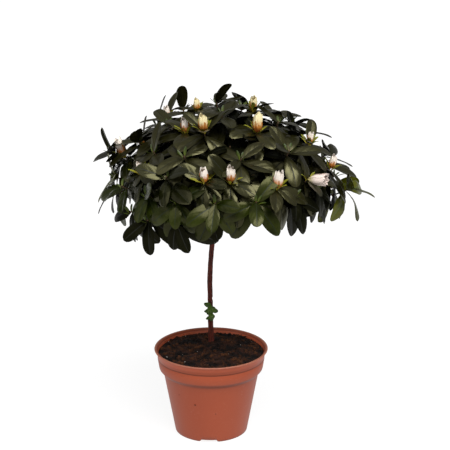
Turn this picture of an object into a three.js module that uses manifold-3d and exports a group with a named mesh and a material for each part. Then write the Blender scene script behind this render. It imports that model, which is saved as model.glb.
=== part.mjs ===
// An azalea grown as a standard: one bare stem that carries a rounded crown of leaf rosettes
// with opening buds, in a plastic nursery pot filled with peat.
// Millimetres, +Z up. The origin is the centre of the pot's flat underside, and -Y is the front.
import * as THREE from 'three';
import { mergeVertices } from 'three/addons/utils/BufferGeometryUtils.js';
import Module from 'manifold-3d';

const { degToRad, lerp } = THREE.MathUtils;
const wasm = await Module();
wasm.setup();

// ---- Driving dimensions ---------------------------------------------------------------------

const GAP = 0.3;                      // left between pieces that touch
const SLIVER = 0.04;                  // edges shorter than this are collapsed after a union

const POT_HEIGHT = 100;
const RIM_RADIUS = 65;                // a 13 cm pot
const LIP_HEIGHT = 2;                 // rolled lip at the very top
const COLLAR_HEIGHT = 23;             // wide band under the rim, lip included
const COLLAR_RADIUS = 62.5;           // just under the lip
const COLLAR_DRAFT = 2.9;             // how much narrower the collar is at its foot
const SHOULDER_HEIGHT = 5;            // slope from the collar in to the body
const BODY_TOP_RADIUS = 54.7;
const BODY_FOOT_RADIUS = 42;
const POT_WALL = 1.5;
const FLOOR_HEIGHT = 3;               // drainage channel under the floor
const PAD_RADIUS = 16;                // flat round pad in the middle of the underside
const FOOT_WIDTH = 4;
const POT_SIDES = 36;
const NOTCH_COUNT = 3;                // gaps in the foot ring that let water out
const NOTCH_WIDTH = 19;
const NOTCH_TURN = -4;                // degrees
const DRAIN_COUNT = 6;
const DRAIN_RADIUS = 3.5;
const DRAIN_CIRCLE = 27;

const SOIL_LEVEL = 95;                // at the pot's wall
const SOIL_CROWN_LEVEL = 98.5;        // on the root ball, round the stem
const ROOT_BALL_RADIUS = 38;

const STEM_RADIUS = 3.3;
const STEM_TIP_RADIUS = 2.5;
const FLARE_RADIUS = 5;               // at the soil
const FLARE_SHARE = 0.09;             // of the stem's length
const STEM_PATH = [[0.5, 25, 92], [-0.8, 23, 140], [-0.6, 20, 190], [3.5, 18, 235], [9, 17, 276]];

const CROWN_CENTRE = new THREE.Vector3(17, 12, 282);
const CROWN_REACH = new THREE.Vector3(124, 128, 97);   // to the shoot tips: half width, depth and height
const SITE_SHARE = 0.66;              // of the crown's reach, where the middle of each mass lies
const CORE_RADIUS = 25;               // of a mass's dense middle
const CORE_HEIGHT_SHARE = 0.8;        // it is a little flattened
const CORE_LEAVES = 9;                // that stand straight on it
const CORE_SPREAD = 90;               // degrees that they cover round its outward side
const CORE_LEAF_REACH = 0.3;          // how far they turn outwards
const CORE_LEAF_DROOP = 0.35;
const BOUGH_RADIUS = 1.8;
const BOUGH_TIP_RADIUS = 1.3;
const BOUGH_SHARE = 0.6;              // of the way from the stem to the middle of its mass
const BOUGH_ARCH = 5;                 // how far a bough bows upwards
const HUB_SHARE = 0.85;               // where the mass's own stem splits into twigs
const TWIG_RADIUS = 1.4;
const TWIG_TIP_RADIUS = 1.1;
const TWIG_BEND = 0.4;                // share of the twig that turns to the shoot's own direction

const LEAF_LENGTH = 46;
const LEAF_WIDTH_SHARE = 0.48;        // of its length
const LEAF_THICKNESS = 1.1;
const LEAF_WIDEST = 0.56;             // share of the length where the leaf is widest
const LEAF_CURL = 0.12;               // how far the tip turns down, as a share of the length
const LEAVES_PER_SHOOT = 7;
const GOLDEN_ANGLE = 137.5;           // degrees round the twig from one leaf to the next
const TURN_JITTER = 20;
const YOUNG_SPREAD = 44;              // degrees away from the twig
const OLD_SPREAD = 108;
const SPREAD_JITTER = 34;
const YOUNG_SIZE = 0.78;              // share of a leaf's full length
const OLD_SIZE = 0.98;
const SIZE_JITTER = 0.14;
const LEAF_STEP = 1.7;                // between leaves along the twig
// How far a crowded leaf lifts towards its shoot, how far it turns round it, and its size.
const LEAF_FITS = [[0, 0, 1], [0, 0.7, 1], [0, -0.7, 1], [0.3, 0, 0.9], [0, 0, 0.75], [0.5, 0, 0.75]];
const LEAF_APART = 17;                // least distance between the middles of two leaves
const LIMB_CLEARANCE = 4;

const BUD_UPRIGHT = 0.6;              // a bud turns this far from its shoot towards the sky
const BUD_LENGTH = 21;
const BUD_SINK = 2;                   // into the tip of its shoot
const BUD_RADIUS = 4.6;
const FLOWER_LENGTH = 22;
const FLOWER_RADIUS = 6.5;
const FLOWER_FACING = new THREE.Vector3(0.85, -0.42, 0.1).normalize();

const SEED = 1695;

// A tier is a ring of leaf shoots round the crown: its height above the crown's centre in degrees,
// how upright its shoots stand and how much their leaves droop, the azimuths of those on the front
// and of those among them that carry a bud, how many more are spread evenly over the arc behind,
// and the share of these that carry a bud. The last but one is a single shoot that stands out.
const TIERS = [
  { elevation: 77, upright: 0.6, droop: 0.2, front: [-100, -8, 80], buds: [-100, 80],
    behind: 2, behindBuds: 0 },
  { elevation: 57, upright: 0.5, droop: 0.27, front: [-73, -44, -22, 32, 62, 95], buds: [-44, -22, 32],
    behind: 5, behindBuds: 0.4 },
  { elevation: 40, upright: 0.42, droop: 0.32, front: [-88, -56, -27, 9, 42, 72], buds: [72],
    behind: 5, behindBuds: 0.4 },
  { elevation: 23, upright: 0.36, droop: 0.4, front: [-95, -55, -33, -12, 2, 26, 50, 74],
    buds: [-95, -55, -12, 2, 26, 50, 74], behind: 6, behindBuds: 0.6 },
  { elevation: 12, upright: 0.3, droop: 0.55, front: [-92, -70, -47, -25, -6, 14, 36, 56, 82],
    buds: [], behind: 6, behindBuds: 0 },
  { elevation: 3, upright: 0.4, droop: 0.3, front: [83], buds: [], behind: 0, behindBuds: 0,
    reach: 1.08 },
  { elevation: -2, upright: 0.2, droop: 0.85, front: [-60, -42, -26, 104], buds: [],
    behind: 5, behindBuds: 0 },
  { elevation: 20, upright: 0.15, droop: 0.15, front: [-101], buds: [], behind: 0, behindBuds: 0,
    reach: 1.15 },
];
const ELEVATION_JITTER = 3;           // degrees either way
const REACH_JITTER = 0.04;            // a share of the crown's reach
const FLOWERING_AZIMUTH = 50;         // the one bloom that is half open

const SKIRT_NAMES = ['front', 'front_right', 'right', 'back_right', 'back_left', 'left', 'front_left'];
const UPPER_NAMES = ['upper_front', 'upper_right', 'upper_back_right', 'upper_back_left', 'upper_left'];
const SKIRT_ELEVATION = 5;
const SKIRT_TURN = -2;                // azimuth of the first mass in the ring
const UPPER_ELEVATION = 38;
const UPPER_TURN = 4;
const SKIRT_WHORL = { foot: 0.78, step: 0.012, stride: 3 };   // where boughs leave the stem
const UPPER_WHORL = { foot: 0.9, step: 0.016, stride: 2 };

// ---- Materials ------------------------------------------------------------------------------

function material(color, roughness) {
  return new THREE.MeshStandardMaterial({ color, roughness, metalness: 0 });
}

const plastic = material('#a9573d', 0.45);
const peat = material('#2a1d16', 1);
const bark = material('#4a302a', 0.85);
const foliage = material('#2b3523', 0.5);
const freshGreen = material('#4c6a26', 0.5);

// ---- Solids ---------------------------------------------------------------------------------

const part = new THREE.Group();

function solidOf(geometry) {
  const bare = geometry.clone();
  bare.deleteAttribute('normal');
  bare.deleteAttribute('uv');
  const merged = mergeVertices(bare, 1e-4);
  const corners = merged.index.array;
  const kept = [];
  for (let i = 0; i < corners.length; i += 3) {
    const [a, b, c] = corners.slice(i, i + 3);
    if (a !== b && b !== c && c !== a) kept.push(a, b, c);
  }
  return new wasm.Manifold(new wasm.Mesh({
    numProp: 3,
    vertProperties: new Float32Array(merged.attributes.position.array),
    triVerts: new Uint32Array(kept),
  }));
}

function addNode(name, solid, look) {
  const { vertProperties, triVerts } = solid.getMesh();
  const geometry = new THREE.BufferGeometry();
  geometry.setAttribute('position', new THREE.BufferAttribute(vertProperties, 3));
  geometry.setIndex(new THREE.BufferAttribute(triVerts, 1));
  geometry.computeVertexNormals();
  const mesh = new THREE.Mesh(geometry, look);
  mesh.name = name;
  part.add(mesh);
}

// The largest connected body: a sealed hollow is filled and a loose scrap is dropped.
function largestBody(solids) {
  const bodies = wasm.Manifold.union(solids).simplify(SLIVER).decompose();
  return bodies.reduce((best, body) => (body.volume() > best.volume() ? body : best));
}

// A round limb along a curve. Its radius is a function of the share of the way along.
function limb(curve, radiusAt, sides, steps) {
  const geometry = new THREE.CylinderGeometry(1, 1, 1, sides, steps);
  const { normals, binormals } = curve.computeFrenetFrames(steps, false);
  const position = geometry.attributes.position;
  const corner = new THREE.Vector3();
  for (let i = 0; i < position.count; i++) {
    corner.fromBufferAttribute(position, i);
    const step = Math.round((corner.y + 0.5) * steps);
    const radius = radiusAt(step / steps);
    const centre = curve.getPointAt(step / steps);
    centre.addScaledVector(normals[step], corner.x * radius);
    centre.addScaledVector(binormals[step], -corner.z * radius);
    position.setXYZ(i, centre.x, centre.y, centre.z);
  }
  return geometry;
}

const taper = (from, to) => (share) => lerp(from, to, share);

// The same short sequence of numbers from the same seed, on any machine.
function seededNumbers(seed) {
  let state = seed;
  return () => {
    state = (state * 48271) % 2147483647;
    return state / 2147483647;
  };
}

// ---- Pot and soil ---------------------------------------------------------------------------

function lathe(profile) {
  const points = profile.map(([r, z]) => new THREE.Vector2(r, z));
  return new THREE.LatheGeometry(points, POT_SIDES).rotateX(Math.PI / 2);
}

const collarFoot = POT_HEIGHT - COLLAR_HEIGHT;
const lipFoot = POT_HEIGHT - LIP_HEIGHT;
const shoulderFoot = collarFoot - SHOULDER_HEIGHT;
const footInner = BODY_FOOT_RADIUS - FOOT_WIDTH;
const floorTop = FLOOR_HEIGHT + POT_WALL;

const potInside = [
  [BODY_FOOT_RADIUS - POT_WALL, floorTop],
  [BODY_TOP_RADIUS - POT_WALL, shoulderFoot],
  [COLLAR_RADIUS - COLLAR_DRAFT - POT_WALL, collarFoot],
  [COLLAR_RADIUS - POT_WALL, lipFoot],
];

function potSolid() {
  const profile = [
    [0, 0],
    [PAD_RADIUS, 0],
    [PAD_RADIUS + 1, FLOOR_HEIGHT],
    [footInner - 1, FLOOR_HEIGHT],
    [footInner, 0],
    [BODY_FOOT_RADIUS - 1.4, 0],
    [BODY_FOOT_RADIUS - 0.4, 0.6],
    [BODY_FOOT_RADIUS, 2.5],
    [BODY_TOP_RADIUS, shoulderFoot],
    [COLLAR_RADIUS - COLLAR_DRAFT, collarFoot],
    [COLLAR_RADIUS, lipFoot],
    [RIM_RADIUS - 0.8, lipFoot + 0.4],
    [RIM_RADIUS, POT_HEIGHT - 1],
    [RIM_RADIUS - 1, POT_HEIGHT],
    [RIM_RADIUS - 2.2, POT_HEIGHT],
    ...potInside.toReversed(),
    [PAD_RADIUS, floorTop],
    [PAD_RADIUS - 1, POT_WALL],
    [0, POT_WALL],
  ];
  let pot = solidOf(lathe(profile));
  const deep = 2 * FOOT_WIDTH + 4;
  for (let i = 0; i < NOTCH_COUNT; i++) {
    const notch = new THREE.BoxGeometry(NOTCH_WIDTH, deep, 2 * FLOOR_HEIGHT);
    notch.translate(0, -BODY_FOOT_RADIUS, 0).rotateZ(degToRad(NOTCH_TURN + (i * 360) / NOTCH_COUNT));
    pot = pot.subtract(solidOf(notch));
  }
  for (let i = 0; i < DRAIN_COUNT; i++) {
    const drain = new THREE.CylinderGeometry(DRAIN_RADIUS, DRAIN_RADIUS, 4 * floorTop, 8);
    drain.rotateX(Math.PI / 2).translate(0, -DRAIN_CIRCLE, 0);
    pot = pot.subtract(solidOf(drain.rotateZ(degToRad(NOTCH_TURN + (i * 360) / DRAIN_COUNT))));
  }
  return pot;
}

function soilSolid() {
  const wallShare = (SOIL_LEVEL - collarFoot) / (lipFoot - collarFoot);
  const wallRadius = lerp(potInside[2][0], potInside[3][0], wallShare);
  const side = [...potInside.slice(0, 3), [wallRadius, SOIL_LEVEL]];
  const clear = side.map(([r, z]) => [r - 1.2 * GAP, z]);
  clear[0][1] += GAP;
  const top = [[ROOT_BALL_RADIUS, SOIL_CROWN_LEVEL], [0, SOIL_CROWN_LEVEL]];
  return solidOf(lathe([[0, clear[0][1]], ...clear, ...top]));
}

// ---- Stem and boughs ------------------------------------------------------------------------

const stemCurve = new THREE.CatmullRomCurve3(STEM_PATH.map((point) => new THREE.Vector3(...point)));

function stemSolid(extra = 0) {
  const radiusAt = (share) => {
    const flare = Math.max(0, 1 - share / FLARE_SHARE) ** 2;
    const plain = lerp(STEM_RADIUS, STEM_TIP_RADIUS, share);
    return extra + lerp(plain, FLARE_RADIUS, flare);
  };
  return solidOf(limb(stemCurve, radiusAt, 8, 18)).trimByPlane([0, 0, 1], SOIL_CROWN_LEVEL + GAP);
}

const SKY = new THREE.Vector3(0, 0, 1);

// A direction from the crown's centre: azimuth 0 faces the front and 90 the right.
function direction(azimuth, elevation) {
  const turn = degToRad(azimuth);
  const rise = degToRad(elevation);
  const out = Math.cos(rise);
  return new THREE.Vector3(Math.sin(turn) * out, -Math.cos(turn) * out, Math.sin(rise));
}

// The point at a share of the crown's reach that way.
function crownPoint(azimuth, elevation, share) {
  return direction(azimuth, elevation).multiply(CROWN_REACH).multiplyScalar(share).add(CROWN_CENTRE);
}

function ringOfMasses(names, elevation, turn, whorl) {
  return names.map((name, i) => ({
    name,
    site: crownPoint(turn + (i * 360) / names.length, elevation, SITE_SHARE),
    root: stemCurve.getPointAt(whorl.foot + whorl.step * ((i * whorl.stride) % names.length)),
  }));
}

const stemTip = stemCurve.getPointAt(1);
const masses = [
  { name: 'top', site: crownPoint(0, 90, SITE_SHARE), root: stemTip },
  ...ringOfMasses(UPPER_NAMES, UPPER_ELEVATION, UPPER_TURN, UPPER_WHORL),
  ...ringOfMasses(SKIRT_NAMES, SKIRT_ELEVATION, SKIRT_TURN, SKIRT_WHORL),
];

function boughCurve(mass) {
  const tip = mass.root.clone().lerp(mass.site, BOUGH_SHARE);
  const bow = mass.root.clone().lerp(tip, 0.5);
  bow.z += BOUGH_ARCH;
  return new THREE.QuadraticBezierCurve3(mass.root, bow, tip);
}

const boughs = masses.slice(1).map((mass) => {
  mass.bough = boughCurve(mass);
  return mass;
});

const limbs = [stemCurve, ...boughs.map((mass) => mass.bough)];
const limbKnots = limbs.flatMap((curve) => curve.getSpacedPoints(16));

// ---- Shoots ---------------------------------------------------------------------------------

// Azimuths of one tier: those on the front, then the rest spread over the arc behind them.
function tierAzimuths({ front, behind }) {
  const first = front[0] + 360;
  const last = front[front.length - 1];
  const spacing = (first - last) / (behind + 1);
  const back = Array.from({ length: behind }, (_, i) => last + spacing * (i + 1));
  return [...front, ...back];
}

function shootsOfTier(tier, tierIndex) {
  return tierAzimuths(tier).map((azimuth, i) => {
    const random = seededNumbers(SEED + 100 * tierIndex + i);
    random();
    const elevation = tier.elevation + ELEVATION_JITTER * (2 * random() - 1);
    const reach = (tier.reach ?? 1) + REACH_JITTER * (2 * random() - 1);
    const tip = crownPoint(azimuth, elevation, reach);
    const axis = direction(azimuth, elevation).lerp(SKY, tier.upright).normalize();
    const isFront = i < tier.front.length;
    const budded = isFront ? tier.buds.includes(azimuth) : random() < tier.behindBuds;
    const flowering = azimuth === FLOWERING_AZIMUTH;
    return { tip, axis, droop: tier.droop, budded, flowering, random };
  });
}

const shoots = TIERS.flatMap(shootsOfTier);

// Each mass keeps to its own space: the points that are nearer its site than any other's.
function insideSpace(points, mass) {
  return masses.every((other) => {
    if (other === mass) return true;
    const middle = mass.site.clone().lerp(other.site, 0.5);
    const away = other.site.clone().sub(mass.site).normalize();
    return points.every((point) => point.clone().sub(middle).dot(away) < -GAP);
  });
}

function clearOfLimbs(points) {
  const isClear = (knot) => points.every((point) => point.distanceTo(knot) > LIMB_CLEARANCE);
  return limbKnots.every(isClear);
}

function massOf(point) {
  const away = (mass) => mass.site.distanceTo(point);
  return masses.reduce((best, mass) => (away(mass) < away(best) ? mass : best));
}

// ---- Leaves, buds and masses ----------------------------------------------------------------

// A leaf of eight faces: an octahedron drawn out to a base, a tip, two sides and a thin middle.
function leafGeometry(base, along, up, length) {
  const across = along.clone().cross(up);
  const geometry = new THREE.OctahedronGeometry(1);
  const position = geometry.attributes.position;
  const corner = new THREE.Vector3();
  for (let i = 0; i < position.count; i++) {
    corner.fromBufferAttribute(position, i);
    const { x, y, z } = corner;
    const reach = y > 0.5 ? 1 : y < -0.5 ? 0 : LEAF_WIDEST;
    const rise = y > 0.5 ? -LEAF_CURL * length : z * LEAF_THICKNESS * 0.5;
    corner.copy(base);
    corner.addScaledVector(along, reach * length);
    corner.addScaledVector(across, x * LEAF_WIDTH_SHARE * 0.5 * length);
    corner.addScaledVector(up, rise);
    position.setXYZ(i, corner.x, corner.y, corner.z);
  }
  return geometry;
}

function cornersOf(geometry) {
  const { position } = geometry.attributes;
  const corner = (_, i) => new THREE.Vector3().fromBufferAttribute(position, i);
  return Array.from({ length: position.count }, corner);
}

// Adds a leaf that keeps to its mass's space and finds room among the others. Where it must be, it
// is turned round its shoot, lifted towards it or smaller, and it is left out where nothing fits.
function growLeaf(mass, base, along, axis, length) {
  for (const [lift, turn, size] of LEAF_FITS) {
    const raised = along.clone().applyAxisAngle(axis, turn).lerp(axis, lift).normalize();
    const up = axis.clone().addScaledVector(raised, -axis.dot(raised)).normalize();
    const middle = base.clone().addScaledVector(raised, LEAF_WIDEST * size * length);
    if (mass.middles.some((other) => other.distanceTo(middle) < LEAF_APART)) continue;
    const leaf = leafGeometry(base, raised, up, size * length);
    const corners = cornersOf(leaf);
    if (!insideSpace(corners, mass) || !clearOfLimbs(corners)) continue;
    mass.middles.push(middle);
    mass.leaves.push(leaf);
    return;
  }
}

// Leaves stand round the shoot by the golden angle, the oldest lowest and flattest.
function growShootLeaves(mass, shoot) {
  const { axis, tip, droop, random } = shoot;
  const side = SKY.clone().cross(axis).normalize();
  const ahead = axis.clone().cross(side);
  const start = 360 * random();
  for (let i = 0; i < LEAVES_PER_SHOOT; i++) {
    const age = i / (LEAVES_PER_SHOOT - 1);
    const turn = degToRad(start + GOLDEN_ANGLE * i + TURN_JITTER * (random() - 0.5));
    const spread = degToRad(lerp(YOUNG_SPREAD, OLD_SPREAD, age) + SPREAD_JITTER * (random() - 0.5));
    const length = LEAF_LENGTH * (lerp(YOUNG_SIZE, OLD_SIZE, age) + SIZE_JITTER * (random() - 0.5));
    const base = tip.clone().addScaledVector(axis, -LEAF_STEP * (i + 1));
    const along = axis.clone().multiplyScalar(Math.cos(spread));
    along.addScaledVector(side, Math.cos(turn) * Math.sin(spread));
    along.addScaledVector(ahead, Math.sin(turn) * Math.sin(spread));
    along.z -= droop * 2 * random();
    along.normalize();
    growLeaf(mass, base, along, axis, length);
  }
}

// Leaves that stand on the core itself and cover it, spread over the side that faces out.
function growCoreLeaves(mass) {
  const out = mass.site.clone().sub(CROWN_CENTRE).normalize();
  const side = new THREE.Vector3(0.3, 0.2, 1).cross(out).normalize();
  const ahead = out.clone().cross(side);
  for (let i = 0; i < CORE_LEAVES; i++) {
    const turn = degToRad(GOLDEN_ANGLE * i);
    const lean = degToRad(CORE_SPREAD * Math.sqrt((i + 0.5) / CORE_LEAVES));
    const normal = out.clone().multiplyScalar(Math.cos(lean));
    normal.addScaledVector(side, Math.cos(turn) * Math.sin(lean));
    normal.addScaledVector(ahead, Math.sin(turn) * Math.sin(lean));
    const base = mass.site.clone().addScaledVector(normal, 0.6 * CORE_RADIUS);
    const along = normal.clone().addScaledVector(out, CORE_LEAF_REACH);
    along.z -= CORE_LEAF_DROOP;
    growLeaf(mass, base, along.normalize(), normal, LEAF_LENGTH);
  }
}

function budGeometry({ tip, axis, flowering }) {
  const length = flowering ? FLOWER_LENGTH : BUD_LENGTH;
  const radius = flowering ? FLOWER_RADIUS : BUD_RADIUS;
  const bud = new THREE.SphereGeometry(1, 5, 3).scale(radius, length / 2, radius);
  bud.translate(0, length / 2 - BUD_SINK, 0);
  const rise = flowering ? FLOWER_FACING : axis.clone().lerp(SKY, BUD_UPRIGHT).normalize();
  const stand = new THREE.Quaternion().setFromUnitVectors(new THREE.Vector3(0, 1, 0), rise);
  return bud.applyQuaternion(stand).translate(tip.x, tip.y, tip.z);
}

function twigGeometry(hub, { tip, axis }) {
  const knee = tip.clone().addScaledVector(axis, -TWIG_BEND * hub.distanceTo(tip));
  const path = new THREE.QuadraticBezierCurve3(hub, knee, tip);
  return limb(path, taper(TWIG_RADIUS, TWIG_TIP_RADIUS), 3, 3);
}

function coreGeometry({ site }) {
  const core = new THREE.IcosahedronGeometry(CORE_RADIUS, 0).scale(1, 1, CORE_HEIGHT_SHARE);
  return core.translate(site.x, site.y, site.z);
}

function massSolid(mass) {
  const out = mass.site.clone().sub(mass.root).normalize();
  const boughTip = mass.bough ? mass.bough.getPointAt(1) : mass.root;
  const heading = mass.bough ? mass.bough.getTangentAt(1) : stemCurve.getTangentAt(1);
  const foot = boughTip.clone().addScaledVector(heading, GAP);
  const hub = mass.root.clone().addScaledVector(out, HUB_SHARE * mass.root.distanceTo(mass.site));
  const knee = foot.clone().addScaledVector(heading, 0.5 * foot.distanceTo(hub));
  const path = new THREE.QuadraticBezierCurve3(foot, knee, hub);
  const stem = limb(path, taper(BOUGH_TIP_RADIUS, TWIG_RADIUS), 5, 3);
  const wood = [stem, coreGeometry(mass)];
  mass.middles = [];
  mass.leaves = [];
  for (const shoot of shoots.filter(({ tip }) => massOf(tip) === mass)) {
    const twig = twigGeometry(hub, shoot);
    if (!insideSpace(cornersOf(twig), mass)) continue;
    wood.push(twig);
    growShootLeaves(mass, shoot);
    const bud = budGeometry(shoot);
    if (shoot.budded && insideSpace(cornersOf(bud), mass)) wood.push(bud);
  }
  growCoreLeaves(mass);
  return largestBody([...wood, ...mass.leaves].map(solidOf));
}

// A tuft of young leaves on the bare stem.
const SPROUT_SHARE = 0.24;            // of the way up the stem
const SPROUT_LEAF_LENGTH = 10;
const SPROUT_LEAVES = 7;

function sproutSolid() {
  const root = stemCurve.getPointAt(SPROUT_SHARE);
  const out = new THREE.Vector3(0.25, -1, 0).normalize();
  const foot = root.clone().addScaledVector(out, STEM_RADIUS + 0.6);
  const tip = foot.clone().addScaledVector(out, 3.5);
  const twig = limb(new THREE.LineCurve3(foot, tip), () => TWIG_TIP_RADIUS, 5, 1);
  const geometries = [twig];
  for (let i = 0; i < SPROUT_LEAVES; i++) {
    const turn = (i * 2 * Math.PI) / SPROUT_LEAVES;
    const along = new THREE.Vector3(Math.cos(turn), -0.55, Math.sin(turn)).normalize();
    const up = out.clone().addScaledVector(along, -out.dot(along)).normalize();
    geometries.push(leafGeometry(tip.clone().addScaledVector(out, -0.9), along, up, SPROUT_LEAF_LENGTH));
  }
  return largestBody(geometries.map(solidOf));
}

// ---- The whole plant ------------------------------------------------------------------------

addNode('pot', potSolid(), plastic);
addNode('soil', soilSolid(), peat);
addNode('trunk', stemSolid(), bark);
addNode('stem_sprout', sproutSolid(), freshGreen);

const stemWithGap = stemSolid(GAP);
for (const mass of boughs) {
  const bough = solidOf(limb(mass.bough, taper(BOUGH_RADIUS, BOUGH_TIP_RADIUS), 6, 6));
  addNode(`bough_${mass.name}`, bough.subtract(stemWithGap), bark);
}
for (const mass of masses) addNode(`leaves_${mass.name}`, massSolid(mass), foliage);

export default part;
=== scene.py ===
# %% [markdown]
# # An azalea on one stem, in a nursery pot
# The plant is a small standard: a bare stem with a round crown of leathery leaves and opening buds.
# The frame gives the pot, the stem, the boughs and the leaf masses at their real size, in metres.
# Every piece below is made round that frame, and rides on its one body, called root.

import math

import bmesh
import bpy
import numpy as np
from mathutils import Matrix, Vector, noise


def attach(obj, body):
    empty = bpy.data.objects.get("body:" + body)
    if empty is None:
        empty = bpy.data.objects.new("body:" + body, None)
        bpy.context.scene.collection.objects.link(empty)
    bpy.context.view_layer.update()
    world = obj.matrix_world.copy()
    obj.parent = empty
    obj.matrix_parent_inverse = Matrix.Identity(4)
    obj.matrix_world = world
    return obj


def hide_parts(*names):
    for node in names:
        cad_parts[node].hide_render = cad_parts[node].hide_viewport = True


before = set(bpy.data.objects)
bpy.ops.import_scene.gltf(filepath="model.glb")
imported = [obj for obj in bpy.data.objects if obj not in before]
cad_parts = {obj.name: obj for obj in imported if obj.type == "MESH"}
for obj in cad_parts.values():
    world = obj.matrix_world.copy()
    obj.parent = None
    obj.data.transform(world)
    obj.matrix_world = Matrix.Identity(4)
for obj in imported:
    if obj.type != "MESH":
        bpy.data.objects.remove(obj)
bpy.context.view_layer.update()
MM = 0.001
print("frame nodes:", len(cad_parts))

# %% [markdown]
# ## The camera
# A small plant is best seen from about its own height, slightly from above, so that the peat in
# the pot shows. A long lens from one and a half metres away keeps the pot's sides nearly straight.
# The camera turns very little to the right, because the crown leans that way.

# %% Place the camera
CAMERA_PLACE = (0, -1.5, 0.688)
CAMERA_TILT = math.radians(16.43)      # below level
CAMERA_TURN = math.radians(0.61)       # to the right
CAMERA_LENS = 112                      # mm, on a sensor that is 36 mm wide

camera_data = bpy.data.cameras.new("camera")
camera_data.lens = CAMERA_LENS
camera_data.sensor_width = 36
camera = bpy.data.objects.new("camera", camera_data)
camera.location = CAMERA_PLACE
camera.rotation_euler = (math.pi / 2 - CAMERA_TILT, 0, -CAMERA_TURN)
bpy.context.scene.collection.objects.link(camera)
bpy.context.scene.camera = camera
print("camera at", CAMERA_PLACE)

# %% [markdown]
# ## Colours and nodes
# Colours are easiest to choose as sRGB hex values, but shaders work on linear light, so one
# function turns the one into the other. A second function adds a node, fills its settings and
# joins its links, so that a material below reads as a short recipe.
# The Standard view shows each colour as it was mixed, which suits an object on a white ground.

# %% Colour and node helpers
bpy.context.scene.view_settings.view_transform = "Standard"


def linear(colour):
    """The linear RGBA of an sRGB hex colour."""
    parts = [int(colour[i:i + 2], 16) / 255 for i in (1, 3, 5)]
    return [p / 12.92 if p <= 0.04045 else ((p + 0.055) / 1.055) ** 2.4 for p in parts] + [1]


def socket(sockets, name):
    """A socket by its identifier, or else by its name."""
    return next((s for s in sockets if s.identifier == name), None) or sockets[name]


def add_node(tree, kind, settings=None, links=None):
    """Adds a node. Each setting is a property or an input of it, and each link feeds an input."""
    node = tree.nodes.new("ShaderNode" + kind)
    for name, value in (settings or {}).items():
        if hasattr(node, name):
            setattr(node, name, value)
    for name, value in (settings or {}).items():
        if not hasattr(node, name):
            socket(node.inputs, name).default_value = value
    for name, source in (links or {}).items():
        tree.links.new(source, socket(node.inputs, name))
    return node


def new_material(name, settings):
    """A material with one Principled surface. Returns the material, its node tree and the surface."""
    material = bpy.data.materials.new(name)
    material.use_nodes = True
    surface = material.node_tree.nodes["Principled BSDF"]
    for key, value in settings.items():
        surface.inputs[key].default_value = value
    return material, material.node_tree, surface


print("white is", [round(x, 3) for x in linear("#ffffff")])

# %% [markdown]
# ## Floor and light
# The plant stands on a plain white sheet that glows a little, as paper on a lit table does, so that
# shadows on it stay faint. Two wide suns, one from the front right and one from the left, and a
# pale sky all round give the soft light of a studio. The wider a sun, the softer its shadows.

# %% Floor and lights
FLOOR_SIZE = 400                       # metres, so that its edge is far away
FLOOR_COLOUR = "#606060"               # a dark sheet, because its glow makes up the white
FLOOR_GLOW = 0.88
SUNS = {  # turn to the right of the camera, height, strength and width, angles in degrees
    "key": (24, 58, 3.7, 42),
    "fill": (-50, 45, 0.8, 60),
}
SKY_STRENGTH = 0.3


def add_floor():
    """A large white sheet under the pot."""
    bm = bmesh.new()
    bmesh.ops.create_grid(bm, x_segments=1, y_segments=1, size=FLOOR_SIZE / 2)
    mesh = bpy.data.meshes.new("floor")
    bm.to_mesh(mesh)
    bm.free()
    paper = {
        "Base Color": linear(FLOOR_COLOUR), "Roughness": 0.9,
        "Emission Color": linear("#ffffff"), "Emission Strength": FLOOR_GLOW,
    }
    mesh.materials.append(new_material("lit_white_paper", paper)[0])
    floor = bpy.data.objects.new("floor", mesh)
    bpy.context.scene.collection.objects.link(floor)


def add_sun(name, turn, height, strength, width):
    """A sun that shines towards the plant from that side."""
    data = bpy.data.lights.new(name, "SUN")
    data.energy = strength
    data.angle = math.radians(width)
    sun = bpy.data.objects.new(name, data)
    sun.rotation_euler = (math.radians(90 - height), 0, math.radians(turn))
    bpy.context.scene.collection.objects.link(sun)


add_floor()
for sun_name, sun_setting in SUNS.items():
    add_sun(sun_name, *sun_setting)
world = bpy.data.worlds.new("studio")
world.use_nodes = True
world.node_tree.nodes["Background"].inputs["Color"].default_value = linear("#ffffff")
world.node_tree.nodes["Background"].inputs["Strength"].default_value = SKY_STRENGTH
bpy.context.scene.world = world
print("suns:", len(SUNS))

# %% [markdown]
# ## Turning a mesh into a piece
# A piece is a finished mesh at the origin, unturned and unscaled, that rides on the root body.
# It may stand for some CAD nodes, which it hides.

# %% Piece helper
def add_piece(name, mesh, materials, slot=None, stands_for=()):
    """Puts a mesh in the scene as a piece of the plant, with smooth shading."""
    for material in materials:
        mesh.materials.append(material)
    mesh.shade_smooth()
    piece = bpy.data.objects.new(name, mesh)
    bpy.context.scene.collection.objects.link(piece)
    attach(piece, "root")
    if stands_for:
        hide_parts(*stands_for)
    print(name, "has", len(mesh.polygons), "faces")
    return piece


def mesh_of(bm, name):
    """The finished mesh of a bmesh, which is then freed."""
    bm.normal_update()
    mesh = bpy.data.meshes.new(name)
    bm.to_mesh(mesh)
    bm.free()
    return mesh


# %% [markdown]
# ## The pot
# A nursery pot is moulded in one shot: a thin wall, a wide collar that stiffens the rim and has a
# fine line round it, a thin lip that stands out, and a foot ring with gaps that let the water out.
# It is turned here as on a lathe: one outline, spun round the upright axis. The gaps are lifted out
# of the foot ring afterwards, and a Boolean cuts the drain holes, because round holes don't follow
# the lathe's grid.

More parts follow.
